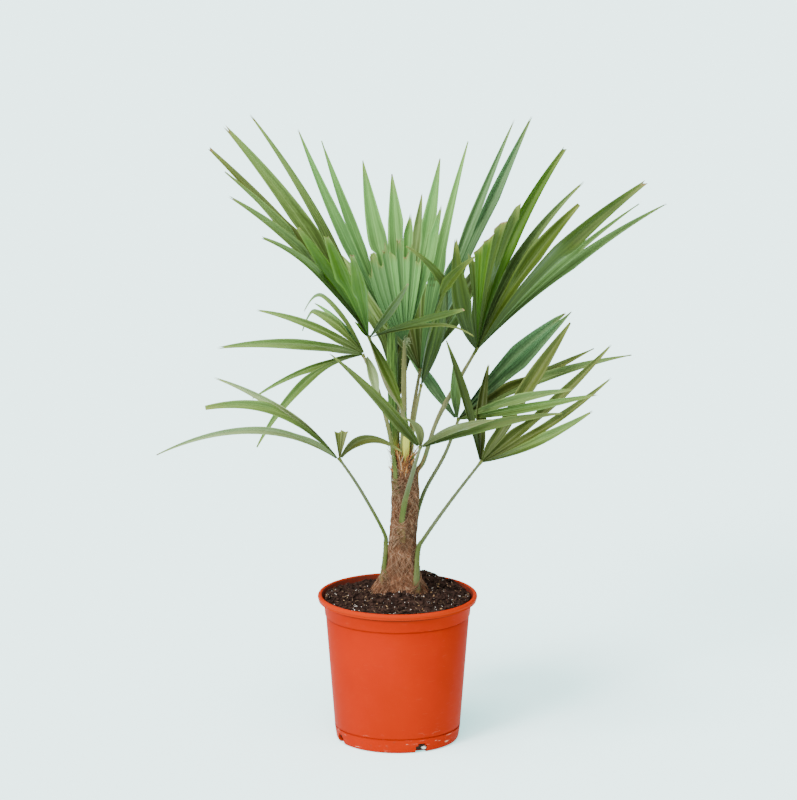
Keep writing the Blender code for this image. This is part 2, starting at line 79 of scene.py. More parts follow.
# The leaves stand where the part has them, each with its hub and the (x, y, z, radius) of its stalk. Some
# segments are reshaped or added, and back_right is narrower than in the part.
FRONDS = (
    Frond("upper_left", "deep", 0.45, 0.22, (-0.0369, -0.065, 0.558), (
        (0.006, -0.0095, 0.3858, 0.0034), (0.006, -0.011, 0.398, 0.0034), (0.0062, -0.024, 0.45, 0.0032),
        (-0.0136, -0.045, 0.488, 0.003),
    ), (
        Segment(None, -39, 0.217, -0.15, 0.013, 0.12, crest=0.6, bow=0.035),
        Segment("deep", -40, 0.278, -0.11, 0.017, 0.14, bow=0.028, tip=0.12),
        Segment("deep", -38, 0.3, -0.07, 0.014, 0.16, bow=0.01, tip=0.12),
        Segment("olive", -38.5, 0.33, -0.03, 0.017, 0.16, bow=-0.004),
        Segment("deep", -34, 0.334, 0.02, 0.024, 0.12, bow=0.008, tip=0.15),
        Segment(None, -28.5, 0.322, 0.06, 0.0155, crest=0.45, bow=0.024, tip=0.12),
        Segment("bright", -27, 0.195, -0.12, 0.028, 0.1),
        Segment("bright", -17.5, 0.18, -0.15, 0.025, 0.08, crest=0.7, bow=-0.01, tip=0.25),
        Segment("bright", -8, 0.151, -0.16, 0.022),
        Segment("dark", 25, 0.12, -0.15, 0.011, 0.03, bow=0.03, widest=0.5),
        Segment("dark", 62, 0.139, -0.11, 0.0105, 0.03, 0.02, widest=0.75, tip=0.35),
        Segment(None, 80, 0.138, -0.09, 0.006, arch=0.1, crest=0.68),
        Segment("dark", 153.3, 0.1008, -0.035, 0.013, widest=0.5, tip=0.1),
        Segment("bright", -37, 0.03, -0.012, 0.0065),
    )),
    Frond("upper_right", "deep", 0.48, 0.26, (0.1036, 0.005, 0.524), (
        (0.025, 0.0, 0.33, 0.003), (0.0254, 0.0, 0.36, 0.0034), (0.0347, 0.002, 0.3767, 0.0036),
        (0.049, 0.006, 0.422, 0.0032), (0.066, 0.01, 0.457, 0.0037),
    ), (
        Segment("dark", -10, 0.162, -0.04, 0.026, 0.045, -0.09, tip=0.1),
        Segment("dark", -4, 0.139, -0.03, 0.018, 0.045, tip=0.35, slant=-0.01),
        Segment("bright", 0.5, 0.152, -0.03, 0.018, 0.134, widest=0.85, tip=0.8, slant=0.013),
        Segment("bright", 5.5, 0.167, -0.03, 0.019, 0.15, widest=0.85, tip=0.8, slant=0.014),
        Segment("dark", 10, 0.186, -0.03, 0.021, 0.166, widest=0.85, tip=0.7, slant=0.015),
        Segment("dark", 14.5, 0.211, -0.027, 0.022, 0.1, widest=0.8, tip=0.3, slant=0.01),
        Segment("bright", 24, 0.282, 0.06, 0.022, 0.11, crest=0.45, bow=-0.04),
        Segment("under", 34.5, 0.25, 0.09, 0.015, 0.08, bow=-0.045, tip=0.1),
        Segment("dark", 34.5, 0.234, 0.01, 0.026, 0.09, bow=-0.012, tip=0.2),
        Segment("dark", 43.5, 0.318, -0.02, 0.028, 0.16, bow=-0.018, widest=0.42, tip=0.2),
        Segment("mid", 48.5, 0.283, 0.04, 0.012, 0.16, bow=-0.01, tip=0.06),
        Segment("under", 54, 0.307, 0.07, 0.017, bow=-0.022, tip=0.06),
    )),
    Frond("top", "pale", 0.6, 0.05, (0.0098, 0.0, 0.537), (
        (0.0085, -0.0005, 0.3858, 0.0042), (0.0085, -0.003, 0.4469, 0.0042),
        (0.0085, -0.001, 0.5009, 0.0036),
    ), (
        Segment("pale", -25.5, 0.322, -0.03, 0.018, 0.16, crest=0.35, bow=-0.06, widest=0.45),
        Segment("pale", -22, 0.289, 0.0, 0.014, 0.105, crest=0.3, bow=-0.055, widest=0.6, tip=0.03),
        Segment(None, -20, 0.126, 0.0, 0.016, 0.105, crest=0.3, bow=-0.06),
        Segment("pale", -13, 0.245, 0.02, 0.024, 0.13, crest=0.27, bow=-0.052, widest=0.58, tip=0.03),
        Segment("pale", -4.5, 0.218, 0.03, 0.025, 0.13, crest=0.3, bow=-0.015),
        Segment(None, 2.5, 0.167, 0.03, 0.016, 0.13),
        Segment(None, 6.5, 0.195, 0.02, 0.016, 0.13, crest=0.3, bow=0.02),
        Segment("pale", 10.5, 0.25, 0.0, 0.02, 0.13, crest=0.3, bow=0.04),
        Segment(None, 14, 0.196, -0.03, 0.018, crest=0.35, bow=0.04),
    )),
    Frond("top_back", "mid", 0.38, 0.07, (0.0295, 0.05, 0.485), (
        (0.0158, 0.003, 0.3858, 0.0031), (0.016, 0.004, 0.395, 0.0031), (0.0203, 0.025, 0.4353, 0.003),
    ), (
        Segment(None, -40, 0.17, 0.13, 0.026, 0.1),
        Segment(None, -20, 0.19, 0.16, 0.026, 0.1),
        Segment(None, 0, 0.16, 0.15, 0.026, 0.1),
        Segment("pale", 12.5, 0.294, 0.1, 0.018, 0.13),
        Segment("bluish", 21.5, 0.341, 0.1, 0.016, 0.19, bow=0.008, widest=0.45, tip=0.04),
        Segment("bluish", 24.3, 0.356, 0.08, 0.028, 0.12, bow=0.01, tip=0.06),
        Segment(None, 34.5, 0.175, 0.11, 0.03, 0.1),
        Segment(None, 41, 0.122, 0.13, 0.03),
    )),
    Frond("top_front", "mid", 0.5, 0.15, (0.03, -0.015, 0.48), (
        (0.019, -0.006, 0.3858, 0.0024), (0.0188, -0.006, 0.395, 0.0024), (0.0222, -0.008, 0.4353, 0.0024),
    ), (
        Segment("dark", -5.1, 0.208, -0.08, 0.014, 0.13, crest=0.6, bow=0.2, widest=0.7),
        Segment("dark", 19.5, 0.207, -0.09, 0.017, crest=0.6, bow=-0.075, widest=0.7),
    )),
    Frond("lower_right", "deep", 0.5, 0.12, (0.1082, -0.03, 0.3815), (
        (0.0245, -0.0282, 0.213, 0.0038), (0.027, -0.0108, 0.2573, 0.0035), (0.036, -0.012, 0.2763, 0.0028),
        (0.07, -0.02, 0.328, 0.0024),
    ), (
        Segment("shaded", -15, 0.174, -0.015, 0.0125, bow=-0.01, widest=0.55),
        Segment("shaded", 6, 0.111, 0.09, 0.0145, bow=-0.03),
        Segment("olive", 35, 0.206, 0.08, 0.02, 0.05, bow=0.015, widest=0.6),
        Segment("olive", 50.5, 0.223, 0.07, 0.013, 0.06, 0.0, bow=0.02, widest=0.6),
        Segment("olive", 58, 0.202, 0.03, 0.011, 0.07, 0.0, bow=0.035, widest=0.55),
        Segment("deep", 62, 0.165, -0.03, 0.015, arch=-0.035),
    )),
    Frond("right", "mid", 0.5, 0.14, (0.0781, 0.025, 0.4253), (
        (0.0226, 0.0137, 0.288, 0.003), (0.03, 0.015, 0.3158, 0.0029), (0.0387, 0.017, 0.3375, 0.0027),
        (0.0624, 0.022, 0.38, 0.0025),
    ), (
        Segment("bluish", -41, 0.105, 0.07, 0.018),
        Segment("under", -3, 0.092, -0.065, 0.014),
        Segment("bluish", 52, 0.193, 0.12, 0.036, 0.08),
        Segment("olive", 68.5, 0.195, 0.1, 0.014, 0.1, bow=0.02, tip=0.05),
        Segment("under", 72.5, 0.241, 0.06, 0.014, arch=0.05, tip=0.05),
        Segment("under", 66, 0.163, -0.1, 0.014, 0.06),
        Segment("mid", 71, 0.192, -0.11, 0.013, arch=0.015, bow=0.015),
    )),
    Frond("front", "mid", 0.42, 0.12, (0.0291, -0.1, 0.42), (
        (0.0046, -0.0206, 0.29, 0.0034), (0.0076, -0.0196, 0.3151, 0.004), (0.0118, -0.03, 0.338, 0.0036),
        (0.0202, -0.06, 0.3778, 0.003),
    ), (
        Segment("olive", -39, 0.185, -0.07, 0.017, widest=0.28, tip=0.05),
        Segment("worn", -24.5, 0.053, -0.03, 0.0095, arch=0.0, crest=0.55, bow=0.2, widest=0.6),
        Segment("worn", 56, 0.114, -0.1, 0.015, 0.07, 0.05, widest=0.5),
        Segment("olive", 72, 0.192, -0.05, 0.017, arch=0.05, widest=0.5),
    )),
    Frond("lower_left", "mid", 0.42, 0.12, (-0.0757, -0.03, 0.3845), (
        (-0.0182, -0.0206, 0.225, 0.003), (-0.018, -0.0154, 0.2363, 0.0032),
        (-0.0154, -0.003, 0.2627, 0.0033), (-0.019, -0.004, 0.2831, 0.0026),
        (-0.0503, -0.02, 0.3455, 0.0023),
    ), (
        Segment("silvery", -85, 0.238, -0.05, 0.0105, 0.03, 0.155, 0.45),
        Segment("mid", -66.5, 0.19, -0.02, 0.0175, 0.09, 0.165, tip=0.35),
        Segment("silvery", -59, 0.193, 0.05, 0.0125, arch=0.07, widest=0.38),
        Segment("brownish", -3, 0.04, 0.002, 0.011, 0.02, 0.0, widest=0.9, tip=0.9),
        Segment("worn", 10, 0.042, 0.0, 0.011, arch=0.0, widest=0.9, tip=0.9),
        Segment("brownish", 71, 0.086, -0.06, 0.013, arch=0.22),
    )),
    Frond("left", "mid", 0.45, 0.14, (-0.0425, 0.02, 0.5145), (
        (-0.0033, -0.0139, 0.35, 0.003), (-0.0035, -0.014, 0.37, 0.0032), (-0.0111, -0.01, 0.4186, 0.003),
        (-0.0268, 0.006, 0.4741, 0.0028),
    ), (
        Segment("silvery", 162, 0.052, -0.036, 0.0135, bow=-0.04, widest=0.55, tip=0.25),
        Segment("mid", -132.5, 0.193, 0.02, 0.0125, 0.06, 0.125, 0.35),
        Segment("mid", -116, 0.166, 0.05, 0.0085, arch=0.055),
        Segment("mid", -92.5, 0.195, 0.07, 0.0145, 0.03, 0.05),
        Segment("mid", -77, 0.147, 0.11, 0.0115, 0.03, 0.05),
        Segment("mid", -88, 0.083, 0.12, 0.013, 0.03, 0.22, 0.8),
        Segment("pale", -64, 0.075, 0.15, 0.008, 0.03, 0.05),
        Segment("mid", -78, 0.083, 0.17, 0.0085, arch=0.21, crest=0.68),
    )),
    Frond("back_left", "mid", 0.45, 0.12, (-0.008, 0.07, 0.485), (
        (0.0005, 0.009, 0.3858, 0.003), (0.0003, 0.01, 0.396, 0.003), (-0.001, 0.03, 0.44, 0.0028),
    ), (
        Segment(None, -48, 0.085, 0.2, 0.026, 0.1, 0.1),
        Segment(None, -36, 0.105, 0.23, 0.028, 0.12, 0.1),
        Segment(None, -15, 0.1, 0.25, 0.03, 0.12, 0.1),
        Segment(None, 20, 0.1, 0.25, 0.03, 0.1, 0.1),
        Segment(None, 50, 0.11, 0.23, 0.028, arch=0.1),
    )),
    Frond("back_right", "mid", 0.45, 0.12, (0.0, 0.07, 0.43), (
        (0.0098, 0.01, 0.3858, 0.003), (0.0095, 0.011, 0.396, 0.003), (0.005, 0.035, 0.415, 0.0028),
    ), (
        Segment(None, -22, 0.09, 0.2, 0.02, 0.1, 0.1, widest=0.6),
        Segment(None, -8, 0.075, 0.22, 0.02, 0.12, 0.1, widest=0.6),
        Segment(None, 7, 0.07, 0.23, 0.02, 0.1, 0.1, widest=0.6),
        Segment(None, 24, 0.075, 0.22, 0.02, arch=0.08, widest=0.6),
    )),
)

# Short pleats with torn ends that stand in front of the top leaf, on the same hub.
TORN_REACHES = (0.114, 0.13, 0.121, 0.141, 0.127, 0.144, 0.126, 0.137, 0.119)
TORN_FAN = Frond("top_torn", "folded", 0.75, 0.4, (0.0098, -0.003, 0.537), None, tuple(
    Segment(
        None, -24 + 4.1 * k, reach, -0.018, 0.0115, 0.11, crest=0.35, bow=-0.1 + 0.018 * k,
        slant=0.01 * math.sin(2.3 * k + 1.0),
    )
    for k, reach in enumerate(TORN_REACHES)
))

# The young leaf as (x, y, z, radius), and the pale foot of the next one in front of it.
SPEAR_POINTS = (
    (-0.0022, 0.0, 0.386, 0.0034), (-0.006, 0.0, 0.43, 0.0044), (-0.0072, 0.002, 0.5, 0.006),
    (-0.0072, 0.006, 0.57, 0.005), (-0.006, 0.01, 0.63, 0.0015),
)
SHEATH_POINTS = (
    (0.01, -0.0105, 0.374, 0.0014), (0.0103, -0.0122, 0.39, 0.0036), (0.0106, -0.0124, 0.407, 0.0046),
    (0.01, -0.011, 0.424, 0.0044), (0.0085, -0.009, 0.445, 0.002),
)

# The trunk's height, lean to the right and radius at each level, as in the part.
TRUNK_LEVELS = (
    (0.2, 0.003, 0.035), (0.212, 0.003, 0.0305), (0.225, 0.0038, 0.0258), (0.242, 0.0052, 0.0214),
    (0.262, 0.0066, 0.018), (0.29, 0.0074, 0.0166), (0.315, 0.0074, 0.015), (0.335, 0.007, 0.014),
    (0.372, 0.007, 0.014), (0.385, 0.0068, 0.0136),
)
FOOT = TRUNK_LEVELS[0][0]
CROWN = TRUNK_LEVELS[-1][0]

# The root of a stalk lies at this share of its foot's distance from the trunk's axis, and this far below.
ROOT_DEPTH = 0.8
ROOT_DROP = 0.02
# The fewest and the most rows of a stalk, from its root up, that are covered in fibre.
FIBROUS_ROWS = {
    "upper_right": (24, 36),
    "left": (4, 10),
    "front": (13, 17),
    "lower_right": (11, 16),
}
USUAL_FIBROUS_ROWS = (7, 14)
STALK_ROWS = 64
STALK_SIDES = 14

HUB_RADIUS = 0.0042
# Segments that lean less than this many degrees apart are joined at least this far from the hub, and
# beyond the joint they part over this distance.
JOINED_DEGREES = 30.0
WEB_FOOT = 0.016
WEB_END = 0.035
# The share by which a segment's face turns from its place in the fan towards the front.
FRONTAL = 0.6
PLEAT_WIDTH = 0.0195
TIP_WIDTH = 0.0016
LEAF_THICKNESS = 0.00045
# Places across a pleat from its left edge to its right one, and rows from the hub to the tip.
ACROSS = (-1.0, -0.72, -0.4, 0.0, 0.4, 0.72, 1.0)
LEAF_ROWS = 44

# Mounds of soil: rise, x, y, half width and half depth.
MOUNDS = (
    (0.0165, 0.038, 0.076, 0.028, 0.028),
    (0.0085, 0.066, 0.055, 0.032, 0.032),
    (0.0075, 0.003, -0.037, 0.046, 0.03),
)

UP = Vector((0.0, 0.0, 1.0))
TURN = 2 * math.pi


def smooth(edge0, edge1, value):
    """0 below edge0, 1 above edge1 and a soft step between."""
    share = min(max((value - edge0) / (edge1 - edge0), 0.0), 1.0)
    return share * share * (3.0 - 2.0 * share)


def mixed(a, b, share):
    return a + (b - a) * share


def polar(reach, turn, z=0.0, lean=0.0):
    """The point at this distance and turn round an upright line at x = lean."""
    return Vector((lean + reach * math.cos(turn), reach * math.sin(turn), z))


def circle(radius, z, steps):
    """A level ring of points, or a single point where the radius is 0."""
    return [polar(radius, TURN * k / steps, z) for k in range(steps if radius else 1)]


class Wire:
    """An output of a material's node tree, on which arithmetic adds Math nodes."""

    def __init__(self, finish, socket):
        self.finish = finish
        self.socket = socket

    def __add__(self, other):
        return self.finish.math("ADD", self, other)

    __radd__ = __add__

    def __sub__(self, other):
        return self.finish.math("SUBTRACT", self, other)

    def __rsub__(self, other):
        return self.finish.math("SUBTRACT", other, self)

    def __mul__(self, other):
        return self.finish.math("MULTIPLY", self, other)

    __rmul__ = __mul__

    def __abs__(self):
        return self.finish.math("ABSOLUTE", self)

    def sine(self):
        return self.finish.math("SINE", self)

    def step(self, low, high):
        """0 below low, 1 above high and a soft step between."""
        inputs = {"Value": self, "From Min": low, "From Max": high}
        return self.finish.node("ShaderNodeMapRange", "Result", inputs, interpolation_type="SMOOTHSTEP")


class Finish:
    """A material under construction: a Principled surface and the nodes that feed it."""

    def __init__(self, name):
        self.material = bpy.data.materials.new(name)
        self.material.use_nodes = True
        self.tree = self.material.node_tree
        self.surface = self.tree.nodes["Principled BSDF"]

    def feed(self, socket, value):
        """Links a wire to a socket or gives it a constant; a colour is three numbers."""
        if isinstance(value, Wire):
            self.tree.links.new(value.socket, socket)
        elif socket.type == "RGBA":
            socket.default_value = (*value, 1.0)
        else:
            socket.default_value = value

    def node(self, kind, output, inputs, **settings):
        """Adds a node and returns the output of this name or number."""
        made = self.tree.nodes.new(kind)
        for key, value in settings.items():
            setattr(made, key, value)
        for key, value in inputs.items():
            self.feed(made.inputs[key], value)
        return Wire(self, made.outputs[output])

    def math(self, operation, first, second=0.0):
        return self.node("ShaderNodeMath", "Value", {0: first, 1: second}, operation=operation)

    def blend(self, share, low, high):
        """The colour low where share is 0 and high where it is 1."""
        return self.node("ShaderNodeMix", 2, {0: share, 6: low, 7: high}, data_type="RGBA")

    def place(self, scale=(1.0, 1.0, 1.0)):
        """The surface's place in metres, stretched by scale."""
        where = self.node("ShaderNodeTexCoord", "Object", {})
        return self.node("ShaderNodeVectorMath", "Vector", {0: where, 1: scale}, operation="MULTIPLY")

    def axis(self, vector, name):
        return self.node("ShaderNodeSeparateXYZ", name, {"Vector": vector})

    def rise(self):
        """Height above the floor in metres."""
        return self.axis(self.place(), "Z")

    def from_axis(self):
        """Distance from the pot's upright axis in metres."""
        level = self.place((1.0, 1.0, 0.0))
        return self.node("ShaderNodeVectorMath", "Value", {0: level}, operation="LENGTH")

    def cloud(self, where, scale, detail, roughness):
        inputs = {"Vector": where, "Scale": scale, "Detail": detail, "Roughness": roughness}
        return self.node("ShaderNodeTexNoise", "Fac", inputs)

    def grain(self, scale, stretch=(1.0, 1.0, 1.0), detail=3.0, roughness=0.55):
        """Noise from 0 to 1, with about this many lumps a metre."""
        return self.cloud(self.place(stretch), scale, detail, roughness)

    def leaf_place(self):
        """Across a leaflet from -1 to 1, and along it from 0 to 1."""
        uv = self.node("ShaderNodeUVMap", "UV", {}, uv_map="Leaflet")
        return self.axis(uv, "X") * 2.0 - 1.0, self.axis(uv, "Y")

    def leaf_streaks(self, across, share):
        """Noise stretched along each leaflet."""
        shift = self.grain(4.0, detail=1.0) * 12.0
        inputs = {"X": across * 7.0 + shift, "Y": share * 2.5 + shift, "Z": shift}
        return self.cloud(self.node("ShaderNodeCombineXYZ", "Vector", inputs), 1.0, 3.0, 0.5)

    def done(self, colour, roughness, sheen, height=None, strength=0.3, distance=0.001, **others):
        """Feeds the surface, with relief where there is a height, and returns the finished material."""
        inputs = {"Base Color": colour, "Roughness": roughness, "Specular IOR Level": sheen, **others}
        if height is not None:
            bump = {"Height": height, "Strength": strength, "Distance": distance}
            inputs["Normal"] = self.node("ShaderNodeBump", "Normal", bump)
        for key, value in inputs.items():
            self.feed(self.surface.inputs[key], value)
        return self.material


def shade(colour, factor):
    return tuple(part * factor for part in colour)


class Shape:
    """Vertices, faces, materials and leaflet coordinates gathered into one mesh."""

    def __init__(self, cells=1):
        self.verts = []
        self.faces = []
        self.looks = []
        self.place = []
        self.sheet = []
        self.cells = cells
        self.next_cell = 0

    def add(self, points):
        first = len(self.verts)
        self.verts.extend(points)
        return first

    def face(self, corners, look, place=None, sheet=None):
        self.faces.append(corners)
        self.looks.append(look)
        self.place.extend(place or [(0.0, 0.0)] * len(corners))
        self.sheet.extend(sheet or [(0.0, 0.0)] * len(corners))

    def loft(self, rings, look, flip=False, ends=None):
        """Joins rings of points. A first or last ring of one point is a tip, and others are closed.

        look is a material's number or a function of a ring's and a side's number, and ends gives the
        materials of both end faces where they differ from it.
        """
        sides = max(len(ring) for ring in rings)
        loops = []
        for ring in rings:
            first = self.add(ring)
            loops.append([first + (k if len(ring) > 1 else 0) for k in range(sides)])
        for number, (low, high) in enumerate(zip(loops, loops[1:])):
            for k in range(sides):
                n = (k + 1) % sides
                corners = (low[k], high[k], high[n], low[n]) if flip else (low[k], low[n], high[n], high[k])
                self.face(tuple(dict.fromkeys(corners)), look(number, k) if callable(look) else look)
        for loop, end_look in zip((loops[0][::-1], loops[-1]), ends or (look, look)):
            if loop[0] != loop[1]:
                self.face(tuple(loop), end_look)

    def cell(self):
        """The left and right ends of the next strip of the sheet of leaflet coordinates."""
        low = self.next_cell / self.cells
        self.next_cell += 1
        return low, low + 1.0 / self.cells

    def make(self, name, looks, with_leaflets=False):
        mesh = bpy.data.meshes.new(name)
        mesh.from_pydata(self.verts, [], self.faces)
        for look in looks:
            mesh.materials.append(look)
        mesh.polygons.foreach_set("material_index", self.looks)
        if with_leaflets:
            for layer, values in (("Leaflet", self.place), ("OFBake", self.sheet)):
                uv = mesh.uv_layers.new(name=layer)
                uv.data.foreach_set("uv", [number for pair in values for number in pair])
        mesh.shade_smooth()
        mesh.update()
        made = bpy.data.objects.new(name, mesh)
        bpy.context.scene.collection.objects.link(made)
        return made


def keep(piece, slot, *nodes):
    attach(piece, BODY)
    if nodes:
        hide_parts(*nodes)


# Leaf geometry


def chord_of(segment):
    lean = math.radians(segment.lean)
    return Vector((segment.reach * math.sin(lean), segment.back, segment.reach * math.cos(lean)))


def sideways(segment):
    """To the right of a segment, in the plane of the picture."""
    lean = math.radians(segment.lean)
    return Vector((math.cos(lean), 0.0, -math.sin(lean)))


def along(hub, segment, distance):
    """The point on a segment's middle line at this distance from the hub."""
    chord = chord_of(segment)
    share = distance / chord.length
    way = chord.normalized()
    rise = (UP - way * UP.dot(way)).normalized()
    if share < segment.crest:
        bump = share / segment.crest * (2.0 - share / segment.crest)
    else:
        bump = 1.0 - ((share - segment.crest) / (1.0 - segment.crest)) ** 2
    return hub + chord * share + (rise * segment.arch + sideways(segment) * segment.bow) * chord.length * bump


def direction(hub, segment, distance):
    step = 0.002
    return (along(hub, segment, distance + step) - along(hub, segment, distance - step)).normalized()


class Fan:
    """The surface of a fan leaf: where each segment's edges run and which way it faces."""

    def __init__(self, frond):
        self.hub = Vector(frond.hub)
        self.segments = frond.segments
        self.lengths = [chord_of(segment).length for segment in self.segments]
        starts = [direction(self.hub, segment, WEB_FOOT) for segment in self.segments]
        self.across = []
        for i, segment in enumerate(self.segments):
            spread = (starts[i + 1 if i + 1 < len(starts) else i] - starts[max(i - 1, 0)]).normalized()
            self.across.append(spread * (1.0 - FRONTAL) + sideways(segment) * FRONTAL)
        self.pleats = [max(1, round(segment.width / PLEAT_WIDTH)) for segment in self.segments]
        self.widest = [segment.widest or frond.widest for segment in self.segments]
        self.tip = [segment.tip or frond.tip for segment in self.segments]

    def middle(self, i, distance):
        return along(self.hub, self.segments[i], distance)

    def facing(self, i, distance):
        return self.across[i].cross(direction(self.hub, self.segments[i], distance)).normalized()

    def half_width(self, i, distance):
        """Half of segment i's own width at this distance."""
        share = distance / self.lengths[i]
        if share < self.widest[i]:
            profile = 0.14 + 0.86 * math.sin(math.pi / 2 * share / self.widest[i]) ** 1.2
        else:
            rest = (share - self.widest[i]) / (1.0 - self.widest[i])
            profile = 1.0 - (1.0 - self.tip[i]) * rest**1.35
        return max(self.segments[i].width * profile, TIP_WIDTH) / 2

    def width(self, i, distance):
        """Segment i's width, no wider than its neighbours leave room for."""
        half = self.half_width(i, distance)
        for j in (i - 1, i + 1):
            if 0 <= j < len(self.segments) and distance < self.lengths[j]:
                half = min(half, 0.49 * (self.middle(j, distance) - self.middle(i, distance)).length)
        return 2 * half

    def depth(self, i, distance):
        """Half the height of the folds of segment i."""
        near = 1.0 - smooth(0.0, 0.6, distance / self.lengths[i])
        return mixed(0.48, 0.62, near) * self.width(i, distance) / self.pleats[i] / 2

    def edge(self, i, side, distance):
        """The point on the left (-1) or right (1) edge of segment i, on the ridge of its fold."""
        j = i + side
        onward = direction(self.hub, self.segments[i], distance)
        way = (self.across[i] - onward * self.across[i].dot(onward)).normalized()
        facing = self.facing(i, distance)
        own = self.middle(i, distance) + way * side * self.width(i, distance) / 2
        own = own + facing * self.depth(i, distance)
        if not 0 <= j < len(self.segments):
            return own
        web = max(self.segments[min(i, j)].web, WEB_FOOT)
        share = smooth(web, web + WEB_END, distance)
        if share >= 1.0 or abs(self.segments[i].lean - self.segments[j].lean) > JOINED_DEGREES:
            return own
        seam = (self.middle(i, distance) + self.middle(j, distance)) / 2
        both = (facing + self.facing(j, distance)).normalized()
        seam = seam + both * (self.depth(i, distance) + self.depth(j, distance)) / 2
        return seam.lerp(own, share)

    def row(self, i, distance, spread, pleat):
        """Points across one pleat of segment i, with its facing direction."""
        left = self.edge(i, -1, distance)
        right = self.edge(i, 1, distance)
        facing = self.facing(i, distance)
        depth = self.depth(i, distance)
        centre = self.middle(i, distance) + facing * depth
        points = []
        for place in ACROSS:
            share = (pleat + 0.5 + place / 2 * spread) / self.pleats[i]
            flat = left.lerp(centre, share * 2) if share < 0.5 else centre.lerp(right, share * 2 - 1)
            fold = 1.0 - abs(place) ** 0.85
            points.append(flat - facing * 2 * depth * fold * mixed(0.35, 1.0, spread))
        return points, facing


def cut_back(slant, notch, x):
    """How far a leaflet's end is cut back at x across it, from -1 to 1."""
    return notch * (1.0 - abs(x)) + abs(slant) * (1.0 - math.copysign(x, x * slant)) / 2


def leaflet(shape, fan, i, pleat, rng, looks):
    """One pleat of a fan as a thin closed sheet. looks: upper, under, edge, dry."""
    upper, under, edge_look, dry = looks
    count = fan.pleats[i]
    ends = fan.lengths[i]
    if count > 1:
        ends *= 1.0 - rng.uniform(0.0, 0.05) * (0.2 if pleat == count // 2 else 1.0)
    split = ends * rng.uniform(0.90, 0.96)
    dry_from = 1.0 - rng.choice((0.0, 0.0, 0.0, 0.004, 0.008, 0.02))
    segment = fan.segments[i]
    notch = rng.choice((0.0, 0.0, 0.003, 0.006, 0.010))
    rows = []
    for number in range(LEAF_ROWS + 1):
        share = 1.0 - (1.0 - number / LEAF_ROWS) ** 1.12
        distance = HUB_RADIUS + (ends - HUB_RADIUS) * share
        spread = 1.0
        if count > 1 and distance > split:
            spread = 1.0 - 0.6 * ((distance - split) / (ends - split)) ** 1.2
        points, facing = fan.row(i, distance, spread, pleat)
        pull = direction(fan.hub, segment, distance) * smooth(0.86, 1.0, share)
        points = [point - pull * cut_back(segment.slant, notch, x) for point, x in zip(points, ACROSS)]
        rows.append((share, points, facing * LEAF_THICKNESS / 2))
    wide = len(ACROSS)
    top = shape.add([point + half for share, points, half in rows for point in points])
    low = shape.add([point - half for share, points, half in rows for point in points])
    cells = shape.cell(), shape.cell()

    def sheet(cell, across, share):
        """Where a point of the leaflet lies on the sheet, from its place across (-1 to 1) and along."""
        left, right = cells[cell]
        return mixed(left, right, 0.5 + across * 0.42), 0.02 + 0.96 * share

    for number in range(LEAF_ROWS):
        shares = rows[number][0], rows[number + 1][0]
        dried = sum(shares) / 2 > dry_from
        for k in range(wide - 1):
            spots = [
                ((number + ahead) * wide + k + aside, ACROSS[k + aside], shares[ahead])
                for aside, ahead in ((0, 0), (1, 0), (1, 1), (0, 1))
            ]
            for cell, first, look in ((0, top, upper), (1, low, under)):
                shape.face(
                    [first + at for at, x, y in spots],
                    dry if dried else look,
                    [((x + 1) / 2, y) for at, x, y in spots],
                    [sheet(cell, x, y) for at, x, y in spots],
                )
                spots.reverse()
        for side, k in ((-1, 0), (1, wide - 1)):
            here = number * wide + k, shares[0]
            there = here[0] + wide, shares[1]
            (a, near), (b, far) = (here, there) if side < 0 else (there, here)
            spots = (side, near), (side, far), (side * 1.12, far), (side * 1.12, near)
            shape.face(
                (top + a, top + b, low + b, low + a),
                dry if dried else edge_look,
                [((side + 1) / 2, shares[0])] * 4,
                [sheet(0, x, y) for x, y in spots],
            )
    last_look = edge_look if dry_from > 0.99 else dry
    for at, first, rise, look in ((0.0, 0, -0.012, edge_look), (1.0, LEAF_ROWS * wide, 0.012, last_look)):
        for k in range(wide - 1):
            a, b = (k, k + 1) if at else (k + 1, k)
            inner = [sheet(0, ACROSS[a], at), sheet(0, ACROSS[b], at)]
            outer = [(x, y + rise) for x, y in inner[::-1]]
            corners = (top + first + a, top + first + b, low + first + b, low + first + a)
            shape.face(corners, look, [(0.5, at)] * 4, inner + outer)


